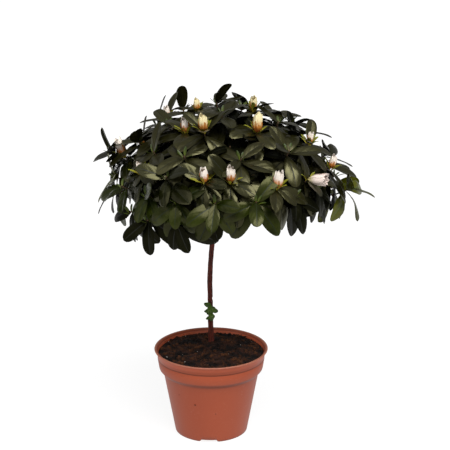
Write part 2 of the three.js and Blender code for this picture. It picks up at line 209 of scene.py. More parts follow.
# %% Pot outline
POT_HEIGHT = 100 * MM
RIM_RADIUS = 65 * MM
COLLAR_RADIUS = 62.5 * MM
COLLAR_DRAFT = 2.9 * MM                # how much narrower the collar is at its foot
COLLAR_FOOT = 77 * MM                  # where the collar ends
LIP_FOOT = 98 * MM
SHOULDER_FOOT = 72 * MM                # where the collar has narrowed to the body
BODY_TOP_RADIUS = 54.7 * MM
BODY_FOOT_RADIUS = 42 * MM
POT_WALL = 1.5 * MM
FLOOR_HEIGHT = 3 * MM                  # of the drainage channel under the floor
PAD_RADIUS = 16 * MM
FOOT_INNER = 38 * MM
MARK_HEIGHT = 89.5 * MM                # of the fine line round the collar
MARK_DEPTH = 0.9 * MM
WALL_RING = 8 * MM                     # keeps the foot's gaps out of the wall's smooth shading
LATHE_STEPS = 180
FLOOR_TOP = FLOOR_HEIGHT + POT_WALL
FOOT_TOP = 2.5 * MM                    # of the foot's rounded edge


def mix(a, b, share):
    """The value that lies that share of the way from a to b."""
    return a + (b - a) * share


pot_inside = [
    (BODY_FOOT_RADIUS - POT_WALL, FLOOR_TOP),
    (BODY_TOP_RADIUS - POT_WALL, SHOULDER_FOOT),
    (COLLAR_RADIUS - COLLAR_DRAFT - POT_WALL, COLLAR_FOOT),
    (COLLAR_RADIUS - POT_WALL, LIP_FOOT),
]


def collar_radius(height):
    """The collar's outer radius, which grows a little towards the lip."""
    share = (height - COLLAR_FOOT) / (LIP_FOOT - COLLAR_FOOT)
    return mix(COLLAR_RADIUS - COLLAR_DRAFT, COLLAR_RADIUS, share)


def body_radius(height):
    """The body's outer radius between its foot and its shoulder."""
    share = (height - FOOT_TOP) / (SHOULDER_FOOT - FOOT_TOP)
    return mix(BODY_FOOT_RADIUS, BODY_TOP_RADIUS, share)


pot_outline = [
    # the pad in the middle, the channel round it and the foot ring
    (0, 0), (PAD_RADIUS, 0), (PAD_RADIUS + 1 * MM, FLOOR_HEIGHT),
    (FOOT_INNER - 1 * MM, FLOOR_HEIGHT), (FOOT_INNER, 0), (BODY_FOOT_RADIUS - 1.4 * MM, 0),
    (BODY_FOOT_RADIUS - 0.4 * MM, 0.6 * MM), (BODY_FOOT_RADIUS, FOOT_TOP),
    # the body and its shoulder
    (body_radius(WALL_RING), WALL_RING), (body_radius(WALL_RING + 1 * MM), WALL_RING + 1 * MM),
    (body_radius(SHOULDER_FOOT - 2 * MM), SHOULDER_FOOT - 2 * MM), (BODY_TOP_RADIUS, SHOULDER_FOOT),
    (BODY_TOP_RADIUS + 1.2 * MM, SHOULDER_FOOT + 0.8 * MM),
    (collar_radius(COLLAR_FOOT) - 1.2 * MM, COLLAR_FOOT - 1.6 * MM),
    (collar_radius(COLLAR_FOOT) - 0.3 * MM, COLLAR_FOOT - 0.4 * MM),
    # the collar and its fine line
    (collar_radius(COLLAR_FOOT + 1 * MM), COLLAR_FOOT + 1 * MM),
    (collar_radius(MARK_HEIGHT), MARK_HEIGHT - 1.4 * MM),
    (collar_radius(MARK_HEIGHT) - MARK_DEPTH, MARK_HEIGHT - 0.2 * MM),
    (collar_radius(MARK_HEIGHT), MARK_HEIGHT + 0.2 * MM),
    # the lip
    (COLLAR_RADIUS, LIP_FOOT - 0.4 * MM), (COLLAR_RADIUS + 0.5 * MM, LIP_FOOT),
    (RIM_RADIUS - 1 * MM, LIP_FOOT + 0.1 * MM), (RIM_RADIUS - 0.3 * MM, LIP_FOOT + 0.4 * MM),
    (RIM_RADIUS, POT_HEIGHT - 1 * MM), (RIM_RADIUS - 0.3 * MM, POT_HEIGHT - 0.4 * MM),
    (RIM_RADIUS - 1 * MM, POT_HEIGHT), (RIM_RADIUS - 1.8 * MM, POT_HEIGHT - 0.2 * MM),
    (RIM_RADIUS - 2.5 * MM, POT_HEIGHT - 0.9 * MM),
    # the inside, down to the middle of the floor
    *reversed(pot_inside),
    (PAD_RADIUS, FLOOR_TOP), (PAD_RADIUS - 1 * MM, POT_WALL), (0, POT_WALL),
]
print("outline points:", len(pot_outline))

# %% Spin, notch and drill the pot
NOTCH_COUNT = 3
NOTCH_WIDTH = 17 * MM                  # at its flat top
NOTCH_SLOPE = 2.2 * MM                 # how far each end leans outwards
NOTCH_TURN = -4                        # degrees to the right of the front
DRAIN_COUNT = 6
DRAIN_RADIUS = 3.5 * MM
DRAIN_CIRCLE = 27 * MM
PAINTED_INSIDE_TOP = POT_HEIGHT - 0.8 * MM      # how high the inside takes its painted copy of the plastic


def spun(outline, steps):
    """A bmesh of the outline, as (radius, height) pairs, spun once round the upright axis."""
    bm = bmesh.new()
    points = [bm.verts.new((radius, 0, height)) for radius, height in outline]
    edges = [bm.edges.new(pair) for pair in zip(points, points[1:])]
    bmesh.ops.spin(bm, geom=points + edges, axis=(0, 0, 1), angle=math.tau, steps=steps, use_merge=True)
    bmesh.ops.remove_doubles(bm, verts=bm.verts, dist=0.001 * MM)
    bmesh.ops.recalc_face_normals(bm, faces=bm.faces)
    return bm


def notch_share(place):
    """1 inside a gap of the foot ring, 0 outside it, and in between on its sloping ends."""
    azimuth = math.degrees(math.atan2(place.x, -place.y)) - NOTCH_TURN
    spacing = 360 / NOTCH_COUNT
    off_centre = abs((azimuth + spacing / 2) % spacing - spacing / 2)
    reach = math.radians(off_centre) * BODY_FOOT_RADIUS - NOTCH_WIDTH / 2
    return min(1, max(0, 1 - reach / NOTCH_SLOPE))


def drilled(piece, cutter_mesh):
    """The piece's mesh with the cutter's shape taken out of it by a Boolean."""
    cutter = bpy.data.objects.new("cutter", cutter_mesh)
    bpy.context.scene.collection.objects.link(cutter)
    cut = piece.modifiers.new("cut", "BOOLEAN")
    cut.object = cutter
    mesh = bpy.data.meshes.new_from_object(piece.evaluated_get(bpy.context.evaluated_depsgraph_get()))
    piece.modifiers.clear()
    bpy.data.objects.remove(cutter)
    return mesh


pot_bm = spun(pot_outline, LATHE_STEPS)
for pot_face in pot_bm.faces:
    middle = pot_face.calc_center_median()
    inward = pot_face.normal.xy.dot(middle.xy) < 0
    # inward faces below the rim take the inside copy: painted bounce light, and painted shade at its rim
    pot_face.material_index = int(inward and FLOOR_TOP < middle.z < PAINTED_INSIDE_TOP)
for foot_vert in pot_bm.verts:
    if foot_vert.co.z < FLOOR_HEIGHT and foot_vert.co.xy.length > FOOT_INNER - 0.5 * MM:
        foot_vert.co.z += (FLOOR_HEIGHT - foot_vert.co.z) * notch_share(foot_vert.co)

drain_bm = bmesh.new()
for drain_number in range(DRAIN_COUNT):
    turn = Matrix.Rotation(math.radians(NOTCH_TURN + drain_number * 360 / DRAIN_COUNT), 4, "Z")
    bmesh.ops.create_cone(
        drain_bm, cap_ends=True, segments=24, radius1=DRAIN_RADIUS, radius2=DRAIN_RADIUS,
        depth=4 * FLOOR_TOP, matrix=turn @ Matrix.Translation((0, -DRAIN_CIRCLE, 0)),
    )

blank = bpy.data.objects.new("blank", mesh_of(pot_bm, "blank"))
bpy.context.scene.collection.objects.link(blank)
pot_mesh = drilled(blank, mesh_of(drain_bm, "drains"))
pot_mesh.name = "pot"
bpy.data.objects.remove(blank)
print("pot has", len(pot_mesh.polygons), "faces after drilling")

# %% [markdown]
# ### Moulded polypropylene
# The pot is polypropylene, coloured through and moulded, so its satin skin is even and a little
# waxy, its index of refraction is 1.49, and use leaves it with faint cloudy patches and fine pale
# scratches that run mostly round the pot. A ramp over the pot's height paints light and shade into
# its colour: darker at the foot, painted shadow under the collar, in the fine line and under the
# lip, and painted light on the band where the lip's shadow falls. The lip is painted paler, as a
# highlight, and the inside has its own copy of the plastic, a little brighter as painted red
# bounce light, with painted shade at its rim.

# %% Pot materials
CLOUD_SIZE = 45 * MM
SCRATCH_WIDTH = 0.5 * MM               # drawn wider than the real ones, which are too fine to show
SKIN_GRAIN = 0.7 * MM
SCRATCH_STRETCH = (0.12, 0.12, 1)      # long round the pot and short up it
SCRATCH_COLOUR = "#ba8472"
# heights where the lip colour is mixed in: a painted highlight outside, painted shade on the inner rim
PAINTED_RIM_HEIGHTS = (POT_HEIGHT - 1.8 * MM, POT_HEIGHT - 0.6 * MM)
PAINTED_SHADING_STOPS = (  # share of the pot's height, and the shading there: 0.85 leaves the colour plain, less is painted shade, more painted light
    (0.01, 0.7), (0.03, 0.85), (0.7, 0.85),             # darker at the foot, then the plain body
    (0.73, 0.47), (0.755, 0.5), (0.775, 0.85),          # painted shadow under the collar
    (0.88, 0.85), (0.889, 0.5), (0.897, 0.5), (0.901, 0.88),    # painted shadow in the fine line
    (0.925, 0.9), (0.94, 1.1), (0.972, 1.1),            # painted light where the lip's shadow falls
    (0.976, 0.45), (0.981, 0.45), (0.985, 0.85),        # painted shadow under the lip
)


def pot_material(name, dark, pale, lip):
    """Satin plastic with cloudy patches, fine scratches, painted shade and light by height, and the lip
    colour over the rim band, as a painted highlight or painted shade.
    """
    settings = {"Roughness": 0.5, "IOR": 1.49, "Specular IOR Level": 0.4}
    material, tree, surface = new_material(name, settings)
    place = add_node(tree, "TexCoord").outputs["Object"]
    clouds = add_node(tree, "TexNoise", {"Scale": 1 / CLOUD_SIZE, "Detail": 3.0}, {"Vector": place})
    body_colour = add_node(
        tree, "Mix", {"data_type": "RGBA", "A_Color": linear(dark), "B_Color": linear(pale)},
        {"Factor_Float": clouds.outputs["Fac"]},
    )
    stretched = add_node(tree, "Mapping", {"Scale": SCRATCH_STRETCH}, {"Vector": place})
    scratches = add_node(
        tree, "TexNoise", {"Scale": 1 / SCRATCH_WIDTH, "Detail": 2.0}, {"Vector": stretched.outputs[0]}
    )
    scratched = add_node(
        tree, "MapRange", {"From Min": 0.66, "From Max": 0.78, "To Max": 0.35},
        {"Value": scratches.outputs["Fac"]},
    )
    worn_colour = add_node(
        tree, "Mix", {"data_type": "RGBA", "B_Color": linear(SCRATCH_COLOUR)},
        {"Factor_Float": scratched.outputs[0], "A_Color": body_colour.outputs[2]},
    )
    height = add_node(tree, "SeparateXYZ", {}, {"Vector": place}).outputs["Z"]
    share = add_node(tree, "Math", {"operation": "DIVIDE", "Value_001": POT_HEIGHT}, {"Value": height})
    # painted light and shade by height, from the stops above, multiplied into the colour
    painted_shading = add_node(tree, "ValToRGB", {}, {"Fac": share.outputs[0]})
    for level, shade in PAINTED_SHADING_STOPS:
        stop = painted_shading.color_ramp.elements.new(level)
        stop.color = (shade, shade, shade, 1)
    painted_shading.color_ramp.elements.remove(painted_shading.color_ramp.elements[0])
    shaded_colour = add_node(
        tree, "Mix", {"data_type": "RGBA", "blend_type": "MULTIPLY", "Factor_Float": 1.0},
        {"A_Color": worn_colour.outputs[2], "B_Color": painted_shading.outputs["Color"]},
    )
    painted_rim_share = add_node(tree, "MapRange", {"From Min": PAINTED_RIM_HEIGHTS[0], "From Max": PAINTED_RIM_HEIGHTS[1]}, {"Value": height})
    colour = add_node(
        tree, "Mix", {"data_type": "RGBA", "B_Color": linear(lip)},
        {"Factor_Float": painted_rim_share.outputs[0], "A_Color": shaded_colour.outputs[2]},
    )
    tree.links.new(colour.outputs[2], surface.inputs["Base Color"])
    grain = add_node(tree, "TexNoise", {"Scale": 1 / SKIN_GRAIN, "Detail": 2.0}, {"Vector": place})
    relief = add_node(
        tree, "Bump", {"Strength": 0.12, "Distance": 0.3 * MM}, {"Height": grain.outputs["Fac"]}
    )
    tree.links.new(relief.outputs[0], surface.inputs["Normal"])
    return material


# the outer lip colour is a painted highlight
pot_plastic = pot_material("moulded_polypropylene", "#943c1a", "#a14725", "#985c46")
# the inside copy is a little brighter as painted red bounce light, and its darker lip colour is painted
# shade at the rim
inner_plastic = pot_material("painted_inside_polypropylene", "#9c4220", "#a94d29", "#8a3a1c")
add_piece("pot_shell", pot_mesh, [pot_plastic, inner_plastic], "pot_plastic", ["pot"])

# %% [markdown]
# ## Numbers that grow the plant
# A plant looks grown when no two shoots are alike, yet it must grow the same way every time. A
# short formula gives a run of numbers from a seed, and each shoot has a seed of its own. Small seeds
# all start low, so the first number is dropped. These are the same numbers that grew the solids in
# the frame, so every shoot comes out where its solid is.

# %% Seeded numbers
FACTOR = 48271
MODULUS = 2147483647


def seeded_numbers(seed):
    """An endless run of numbers from 0 to 1 that only the seed decides."""
    state = seed * FACTOR % MODULUS
    while True:
        state = state * FACTOR % MODULUS
        yield state / MODULUS


print("first number of seed 7:", next(seeded_numbers(7)))

# %% [markdown]
# ## Peat
# Potting peat settles into a rough, crumbly top, a little higher on the root ball. The surface is
# spun like the pot, then its points are pushed up and down by noise. Loose crumbs and short
# fibres lie on it, with a few white grains of perlite, each a small shape that is copied. A few
# crumbs also stick to the outside of the pot, as they do once it has been handled.

# %% Peat surface
SOIL_LEVEL = 95 * MM                   # at the wall
SOIL_CROWN_LEVEL = 98.5 * MM           # round the stem
ROOT_BALL_RADIUS = 38 * MM
SOIL_GAP = 0.36 * MM                   # between the peat and the pot's wall
SOIL_BASE = FLOOR_TOP + 0.3 * MM
CRUMB_DEPTH = 0.8 * MM                 # of the loose layer that lies on the smooth surface
CLOD_SIZE = 9 * MM
CLOD_HEIGHT = 2.2 * MM
CLOD_FADE = 6 * MM                     # clods grow low this close to the wall
SOIL_RINGS = 46
SOIL_STEPS = 160

wall_share = (SOIL_LEVEL - COLLAR_FOOT) / (LIP_FOOT - COLLAR_FOOT)
soil_radius = mix(pot_inside[2][0], pot_inside[3][0], wall_share) - SOIL_GAP


def soil_height(radius):
    """The smooth height of the peat: level on the root ball, and falling to the wall."""
    fall = max(0, radius - ROOT_BALL_RADIUS) / (soil_radius - ROOT_BALL_RADIUS)
    return mix(SOIL_CROWN_LEVEL, SOIL_LEVEL, fall) - CRUMB_DEPTH


def soil_relief(x, y):
    """Clods and crumbs of peat, which fade out at the wall."""
    spot = Vector((x, y, 0))
    clods = noise.fractal(spot / CLOD_SIZE, 0.9, 2.1, 5)
    edge = min(1, (soil_radius - spot.length) / CLOD_FADE)
    return CLOD_HEIGHT * clods * max(0.15, edge)


soil_sides = [(0, SOIL_BASE), (pot_inside[0][0] - SOIL_GAP, SOIL_BASE)]
soil_sides += [(radius - SOIL_GAP, level) for radius, level in pot_inside[1:3]]
soil_rings = [soil_radius * (1 - i / SOIL_RINGS) for i in range(SOIL_RINGS + 1)]
soil_bm = spun(soil_sides + [(radius, soil_height(radius)) for radius in soil_rings], SOIL_STEPS)
for soil_vert in soil_bm.verts:
    if soil_vert.co.z > SOIL_LEVEL - 2 * MM:
        soil_vert.co.z += soil_relief(soil_vert.co.x, soil_vert.co.y)
soil_mesh = mesh_of(soil_bm, "peat_bed")
print("peat bed radius", round(soil_radius / MM, 1), "mm")

# %% [markdown]
# ### Many copies of a small shape
# Crumbs, leaves and buds are each one small mesh, the template, repeated many times. Instances
# would be lost in the export, so the copies are written into one mesh: an array of matrices
# times an array of points. Each copy keeps the template's faces, UV map and materials.

# %% Copying helper
def template_of(bm):
    """A small mesh as arrays: points, faces, UVs by corner, and each face's material. It is freed."""
    bm.verts.index_update()
    uv_layer = bm.loops.layers.uv.active
    corners = [loop for face in bm.faces for loop in face.loops]
    template = {
        "points": np.array([v.co[:] for v in bm.verts]),
        "faces": np.array([[v.index for v in face.verts] for face in bm.faces]),
        "uvs": np.array([c[uv_layer].uv[:] if uv_layer else (0, 0) for c in corners]),
        "looks": np.array([face.material_index for face in bm.faces]),
    }
    bm.free()
    return template


def copies_mesh(name, templates, places):
    """One mesh of many copies. A place is a template's number and a 4 by 4 matrix."""
    points, faces, uvs, looks = [], [], [], []
    start = 0
    for number, template in enumerate(templates):
        moves = np.array([matrix for which, matrix in places if which == number])
        if not len(moves):
            continue
        moved = np.einsum("kij,nj->kni", moves[:, :3, :3], template["points"]) + moves[:, None, :3, 3]
        offsets = start + len(template["points"]) * np.arange(len(moves))
        points.append(moved.reshape(-1, 3))
        copied = template["faces"][None] + offsets[:, None, None]
        faces += copied.reshape(-1, copied.shape[2]).tolist()
        uvs.append(np.tile(template["uvs"], (len(moves), 1)))
        looks.append(np.tile(template["looks"], len(moves)))
        start += len(moves) * len(template["points"])
    mesh = bpy.data.meshes.new(name)
    mesh.from_pydata(np.concatenate(points).tolist(), [], faces)
    mesh.uv_layers.new(name="UVMap").data.foreach_set("uv", np.concatenate(uvs).ravel())
    mesh.polygons.foreach_set("material_index", np.concatenate(looks))
    return mesh


def placed(point, turns=(0, 0, 0), size=1):
    """A matrix that scales a template, turns it by three angles and moves it to a point."""
    turned = Matrix.LocRotScale(Vector(point), Matrix.Rotation(turns[2], 3, "Z").to_euler(), None)
    turned = turned @ Matrix.Rotation(turns[1], 4, "Y") @ Matrix.Rotation(turns[0], 4, "X")
    return turned @ Matrix.Scale(size, 4)


print("copies are joined into one mesh for each kind")

# %% Crumbs, fibres and perlite
CRUMB_COUNT = 900
CRUMB_SIZES = (0.5 * MM, 2.6 * MM)
FIBRE_COUNT = 240
FIBRE_LENGTHS = (4 * MM, 15 * MM)
FIBRE_RADIUS = 0.22 * MM
FIBRE_THICKNESS = FIBRE_RADIUS / (9 * MM)      # as a share of a middling fibre's length
FIBRE_BEND = 0.12
PERLITE_COUNT = 16
PERLITE_SIZES = (0.35 * MM, 0.7 * MM)
WALL_CLEARANCE = 1.5 * MM              # of crumbs from the pot's wall
SPECKS = [  # crumbs stuck to the outside of the pot: azimuth in degrees, height and size
    (-21, 48.6 * MM, 1 * MM), (6, 38 * MM, 0.7 * MM), (-44, 57 * MM, 0.5 * MM), (130, 50 * MM, 0.8 * MM),
]


def crumb_template(seed):
    """A lump of peat: an icosphere with its corners pushed about."""
    bm = bmesh.new()
    bmesh.ops.create_icosphere(bm, subdivisions=1, radius=1)
    for vert in bm.verts:
        vert.co *= 1 + 0.55 * noise.noise(vert.co * 1.3 + Vector((seed, 0, 0)))
        vert.co.z *= 0.7
    return template_of(bm)


def fibre_template():
    """A thin, slightly bent three-sided rod, one unit long."""
    bm = bmesh.new()
    bmesh.ops.create_cone(bm, cap_ends=False, segments=3, radius1=1, radius2=0.5, depth=1)
    upright = [edge for edge in bm.edges if abs(edge.verts[0].co.z - edge.verts[1].co.z) > 0.5]
    bmesh.ops.subdivide_edges(bm, edges=upright, cuts=3)
    for vert in bm.verts:
        vert.co.x *= FIBRE_THICKNESS
        vert.co.y = vert.co.y * FIBRE_THICKNESS + FIBRE_BEND * math.cos(math.pi * vert.co.z)
    return template_of(bm)


def strewn(count, seed, sizes, kinds, flat, lift):
    """Places for copies strewn over the peat. Flat ones lie down on their side."""
    draws = seeded_numbers(seed)
    places = []
    for number in range(count):
        radius = (soil_radius - WALL_CLEARANCE) * math.sqrt(next(draws))
        azimuth = math.tau * next(draws)
        x, y = radius * math.cos(azimuth), radius * math.sin(azimuth)
        size = mix(*sizes, next(draws) ** 2)
        tilt = math.pi / 2 + 0.5 * (next(draws) - 0.5) if flat else math.tau * next(draws)
        z = soil_height(radius) + soil_relief(x, y) + lift * size
        places.append((number % kinds, placed((x, y, z), (tilt, 0, math.tau * next(draws)), size)))
    return places


crumb_shapes = [crumb_template(seed) for seed in range(4)]
crumb_places = strewn(CRUMB_COUNT, seed=11, sizes=CRUMB_SIZES, kinds=4, flat=False, lift=0.2)
fibre_places = strewn(FIBRE_COUNT, seed=23, sizes=FIBRE_LENGTHS, kinds=1, flat=True, lift=0.03)
perlite_places = strewn(PERLITE_COUNT, seed=31, sizes=PERLITE_SIZES, kinds=4, flat=False, lift=0.6)
speck_places = []
for speck_azimuth, speck_height, speck_size in SPECKS:
    speck_turn = math.radians(speck_azimuth)
    speck_point = Vector((0, -body_radius(speck_height), speck_height))
    speck_point.rotate(Matrix.Rotation(speck_turn, 3, "Z"))
    speck_places.append((0, placed(speck_point, (0, 0, speck_turn), speck_size)))
print("crumbs:", len(crumb_places), "fibres:", len(fibre_places), "specks:", len(speck_places))

# %% [markdown]
# ### Peat, fibre and perlite
# Moist peat is nearly black brown and quite matt, because its crumbs trap the light. Dry crumbs
# and root fibres are paler and redder. Perlite is expanded volcanic glass: matt and chalky white.

# %% Peat materials
CRUMB_GRAIN = 1.2 * MM
PATCH_SIZE = 14 * MM


def soil_material(name, dark, pale):
    """A matt material that varies between two colours from patch to patch and crumb to crumb."""
    material, tree, surface = new_material(name, {"Roughness": 0.95, "Specular IOR Level": 0.25})
    place = add_node(tree, "TexCoord").outputs["Object"]
    patches = add_node(tree, "TexNoise", {"Scale": 1 / PATCH_SIZE, "Detail": 8.0}, {"Vector": place})
    share = add_node(
        tree, "MapRange", {"From Min": 0.43, "From Max": 0.6}, {"Value": patches.outputs["Fac"]}
    )
    colour = add_node(
        tree, "Mix", {"data_type": "RGBA", "A_Color": linear(dark), "B_Color": linear(pale)},
        {"Factor_Float": share.outputs[0]},
    )
    tree.links.new(colour.outputs[2], surface.inputs["Base Color"])
    crumbs = add_node(tree, "TexNoise", {"Scale": 1 / CRUMB_GRAIN, "Detail": 4.0}, {"Vector": place})
    relief = add_node(
        tree, "Bump", {"Strength": 0.9, "Distance": 0.8 * MM}, {"Height": crumbs.outputs["Fac"]}
    )
    tree.links.new(relief.outputs[0], surface.inputs["Normal"])
    return material


moist_peat = soil_material("moist_peat", "#060302", "#2e160c")
dry_peat = soil_material("dry_peat_crumbs", "#0f0604", "#482914")
root_fibre = soil_material("root_fibre", "#2e190c", "#52321c")
perlite_white = soil_material("expanded_perlite", "#cfccc4", "#f1efe8")
add_piece("peat_bed", soil_mesh, [moist_peat], "peat", ["soil"])
for loose_name, loose_shapes, loose_places, loose_look, loose_slot in (
    ("peat_crumbs", crumb_shapes, crumb_places, dry_peat, "peat"),
    ("peat_specks", crumb_shapes, speck_places, moist_peat, "peat"),
    ("peat_fibres", [fibre_template()], fibre_places, root_fibre, "peat"),
    ("perlite_grains", crumb_shapes, perlite_places, perlite_white, None),
):
    add_piece(loose_name, copies_mesh(loose_name, loose_shapes, loose_places), [loose_look], loose_slot)

# %% [markdown]
# ## The stem
# The stem is one smooth, slightly leaning line from the peat to the crown, thicker at its foot. A
# curve through five points gives its middle, and a tube of rings follows it. The curve is made
# of Bezier pieces whose handles come from the spacing of the points, which keeps it from bulging.

# %% Lines and limbs
STEM_PATH = [
    Vector(point) * MM
    for point in ((0.5, 25, 92), (-0.8, 23, 140), (-0.6, 20, 190), (3.5, 18, 235), (9, 17, 276))
]
LINE_STEPS = 40


def smooth_line(knots):
    """Points along a centripetal curve through the knots."""
    ends = [2 * knots[0] - knots[1], *knots, 2 * knots[-1] - knots[-2]]
    line = []
    for before, start, end, after in zip(ends, ends[1:], ends[2:], ends[3:]):
        spans = ((before, start), (start, end), (end, after))
        first, middle, last = (math.sqrt((b - a).length) for a, b in spans)
        leave = (start - before) / first - (end - before) / (first + middle) + (end - start) / middle
        arrive = (end - start) / middle - (after - start) / (middle + last) + (after - end) / last
        handles = start + leave * middle / 3, end - arrive * middle / 3
        ts = [i / LINE_STEPS for i in range(LINE_STEPS)]
        line += [bezier(start, *handles, end, t) for t in ts]
    return [*line, knots[-1]]


def bezier(a, b, c, d, t):
    """A point on a Bezier curve with two handles."""
    return a * (1 - t) ** 3 + b * 3 * t * (1 - t) ** 2 + c * 3 * t * t * (1 - t) + d * t ** 3


def bow(start, bend, end, steps=16):
    """Points along a simple bow that leaves its start towards the bend and arrives from it."""
    first, second = start.lerp(bend, 2 / 3), end.lerp(bend, 2 / 3)
    return [bezier(start, first, second, end, i / steps) for i in range(steps + 1)]


def point_along(line, share):
    """The point at a share of a line's length, and the line's direction there."""
    points = np.array(line)
    steps = np.diff(points, axis=0)
    lengths = np.linalg.norm(steps, axis=1)
    travelled = np.concatenate([[0], np.cumsum(lengths)])
    distance = share * travelled[-1]
    index = min(int(np.searchsorted(travelled, distance, side="right")) - 1, len(lengths) - 1)
    rest = (distance - travelled[index]) / lengths[index]
    return Vector(points[index] + steps[index] * rest), Vector(steps[index] / lengths[index])


def add_limb(bm, line, radius_at, sides, steps):
    """Adds a round limb along a line: a capped tube, cut into rings that are moved onto the line."""
    before = len(bm.verts)
    tube = bmesh.ops.create_cone(bm, cap_ends=True, segments=sides, radius1=1, radius2=1, depth=1)
    edges = {edge for vert in tube["verts"] for edge in vert.link_edges}
    upright = {edge for edge in edges if abs(edge.verts[0].co.z - edge.verts[1].co.z) > 0.5}
    bmesh.ops.subdivide_edges(bm, edges=list(upright), cuts=steps - 1)
    bm.verts.ensure_lookup_table()
    spots = [point_along(line, i / steps) for i in range(steps + 1)]
    for vert in bm.verts[before:]:
        share = vert.co.z + 0.5
        centre, heading = spots[round(share * steps)]
        side = heading.cross((0, 1, 0.02)).normalized()
        radius = radius_at(share)
        vert.co = centre + (side * vert.co.x + side.cross(heading) * vert.co.y) * radius


stem_line = smooth_line(STEM_PATH)
print("stem tip", [round(x / MM, 1) for x in stem_line[-1]])

# %% Stem with bark and nubs
STEM_RADIUS = 3.3 * MM
STEM_TIP_RADIUS = 2.5 * MM
FLARE_RADIUS = 5 * MM
FLARE_SHARE = 0.09
BARK_RELIEF = 0.45 * MM
RIDGE_WIDTH = 1.6 * MM                 # bark ridges run up the stem
RIDGE_LENGTH = 14 * MM
NUBS = [(129, -80), (151, 100), (146, -70), (113, -85), (205, 40), (232, -120)]  # height in mm, azimuth
NUB_SIZE = 1.5 * MM


def stem_radius(share):
    """The stem's radius: an even taper, and a flare at the foot."""
    flare = max(0, 1 - share / FLARE_SHARE) ** 2
    return mix(mix(STEM_RADIUS, STEM_TIP_RADIUS, share), FLARE_RADIUS, flare)


def roughen(verts, height):
    """Moves points out and in along their normals, in ridges that run upwards."""
    for vert in verts:
        spot = Vector((vert.co.x / RIDGE_WIDTH, vert.co.y / RIDGE_WIDTH, vert.co.z / RIDGE_LENGTH))
        vert.co += vert.normal * height * noise.fractal(spot, 0.8, 2.2, 3)


stem_bm = bmesh.new()
add_limb(stem_bm, stem_line, stem_radius, 28, 200)
stem_bm.normal_update()
roughen(stem_bm.verts, BARK_RELIEF)
for nub_height, nub_azimuth in NUBS:
    nub_share = (nub_height * MM - STEM_PATH[0].z) / (STEM_PATH[-1].z - STEM_PATH[0].z)
    nub_turn = math.radians(nub_azimuth)
    nub_place = point_along(stem_line, nub_share)[0]
    nub_place += Vector((math.sin(nub_turn), -math.cos(nub_turn), 0)) * stem_radius(nub_share)
    for stem_vert in stem_bm.verts:
        closeness = math.exp(-((stem_vert.co - nub_place).length / NUB_SIZE) ** 2)
        stem_vert.co += stem_vert.normal * NUB_SIZE * closeness
foot = [v for v in stem_bm.verts if v.co.z < SOIL_LEVEL + 1 * MM]
print("stem points under the peat:", len(foot))
stem_mesh = mesh_of(stem_bm, "stem_bark")

# %% [markdown]
# ### Bark
# Young azalea bark is thin and brown with a purple cast, and splits into fine ridges along the
# stem. It is matt, and its ridges are paler than the furrows between them, so noise that is drawn
# out along the stem gives both the colour and the relief.

# %% Bark material
FURROW_WIDTH = 1.1 * MM
FURROW_STRETCH = (1, 1, 0.16)


def bark_material(name, dark, pale, roughness):
    """A matt material with streaks that run upwards, in colour and in relief."""
    material, tree, surface = new_material(name, {"Roughness": roughness, "Specular IOR Level": 0.25})
    place = add_node(tree, "TexCoord").outputs["Object"]
    upwards = add_node(tree, "Mapping", {"Scale": FURROW_STRETCH}, {"Vector": place})
    streaks = add_node(
        tree, "TexNoise", {"Scale": 1 / FURROW_WIDTH, "Detail": 5.0}, {"Vector": upwards.outputs[0]}
    )
    share = add_node(
        tree, "MapRange", {"From Min": 0.35, "From Max": 0.65}, {"Value": streaks.outputs["Fac"]}
    )
    colour = add_node(
        tree, "Mix", {"data_type": "RGBA", "A_Color": linear(dark), "B_Color": linear(pale)},
        {"Factor_Float": share.outputs[0]},
    )
    tree.links.new(colour.outputs[2], surface.inputs["Base Color"])
    relief = add_node(
        tree, "Bump", {"Strength": 0.7, "Distance": 0.4 * MM}, {"Height": streaks.outputs["Fac"]}
    )
    tree.links.new(relief.outputs[0], surface.inputs["Normal"])
    return material


stem_bark = bark_material("azalea_bark", "#270a06", "#63281b", 0.75)
twig_bark = bark_material("young_twig_bark", "#281a0f", "#56402a", 0.7)
add_piece("stem_bark", stem_mesh, [stem_bark], "bark", ["trunk"])

# %% [markdown]
# ## The plan of the crown
# Shoots stand in rings, called tiers here, on an egg-shaped crown. A tier lists where its shoots
# stand on the front and how many are spread behind. Two short tiers hold one long sprig each, which
# breaks the round outline. The crown is shared out among thirteen masses, and each mass has one
# bough, which splits into twigs at its hub. This is the rule that grew the solids in the frame.

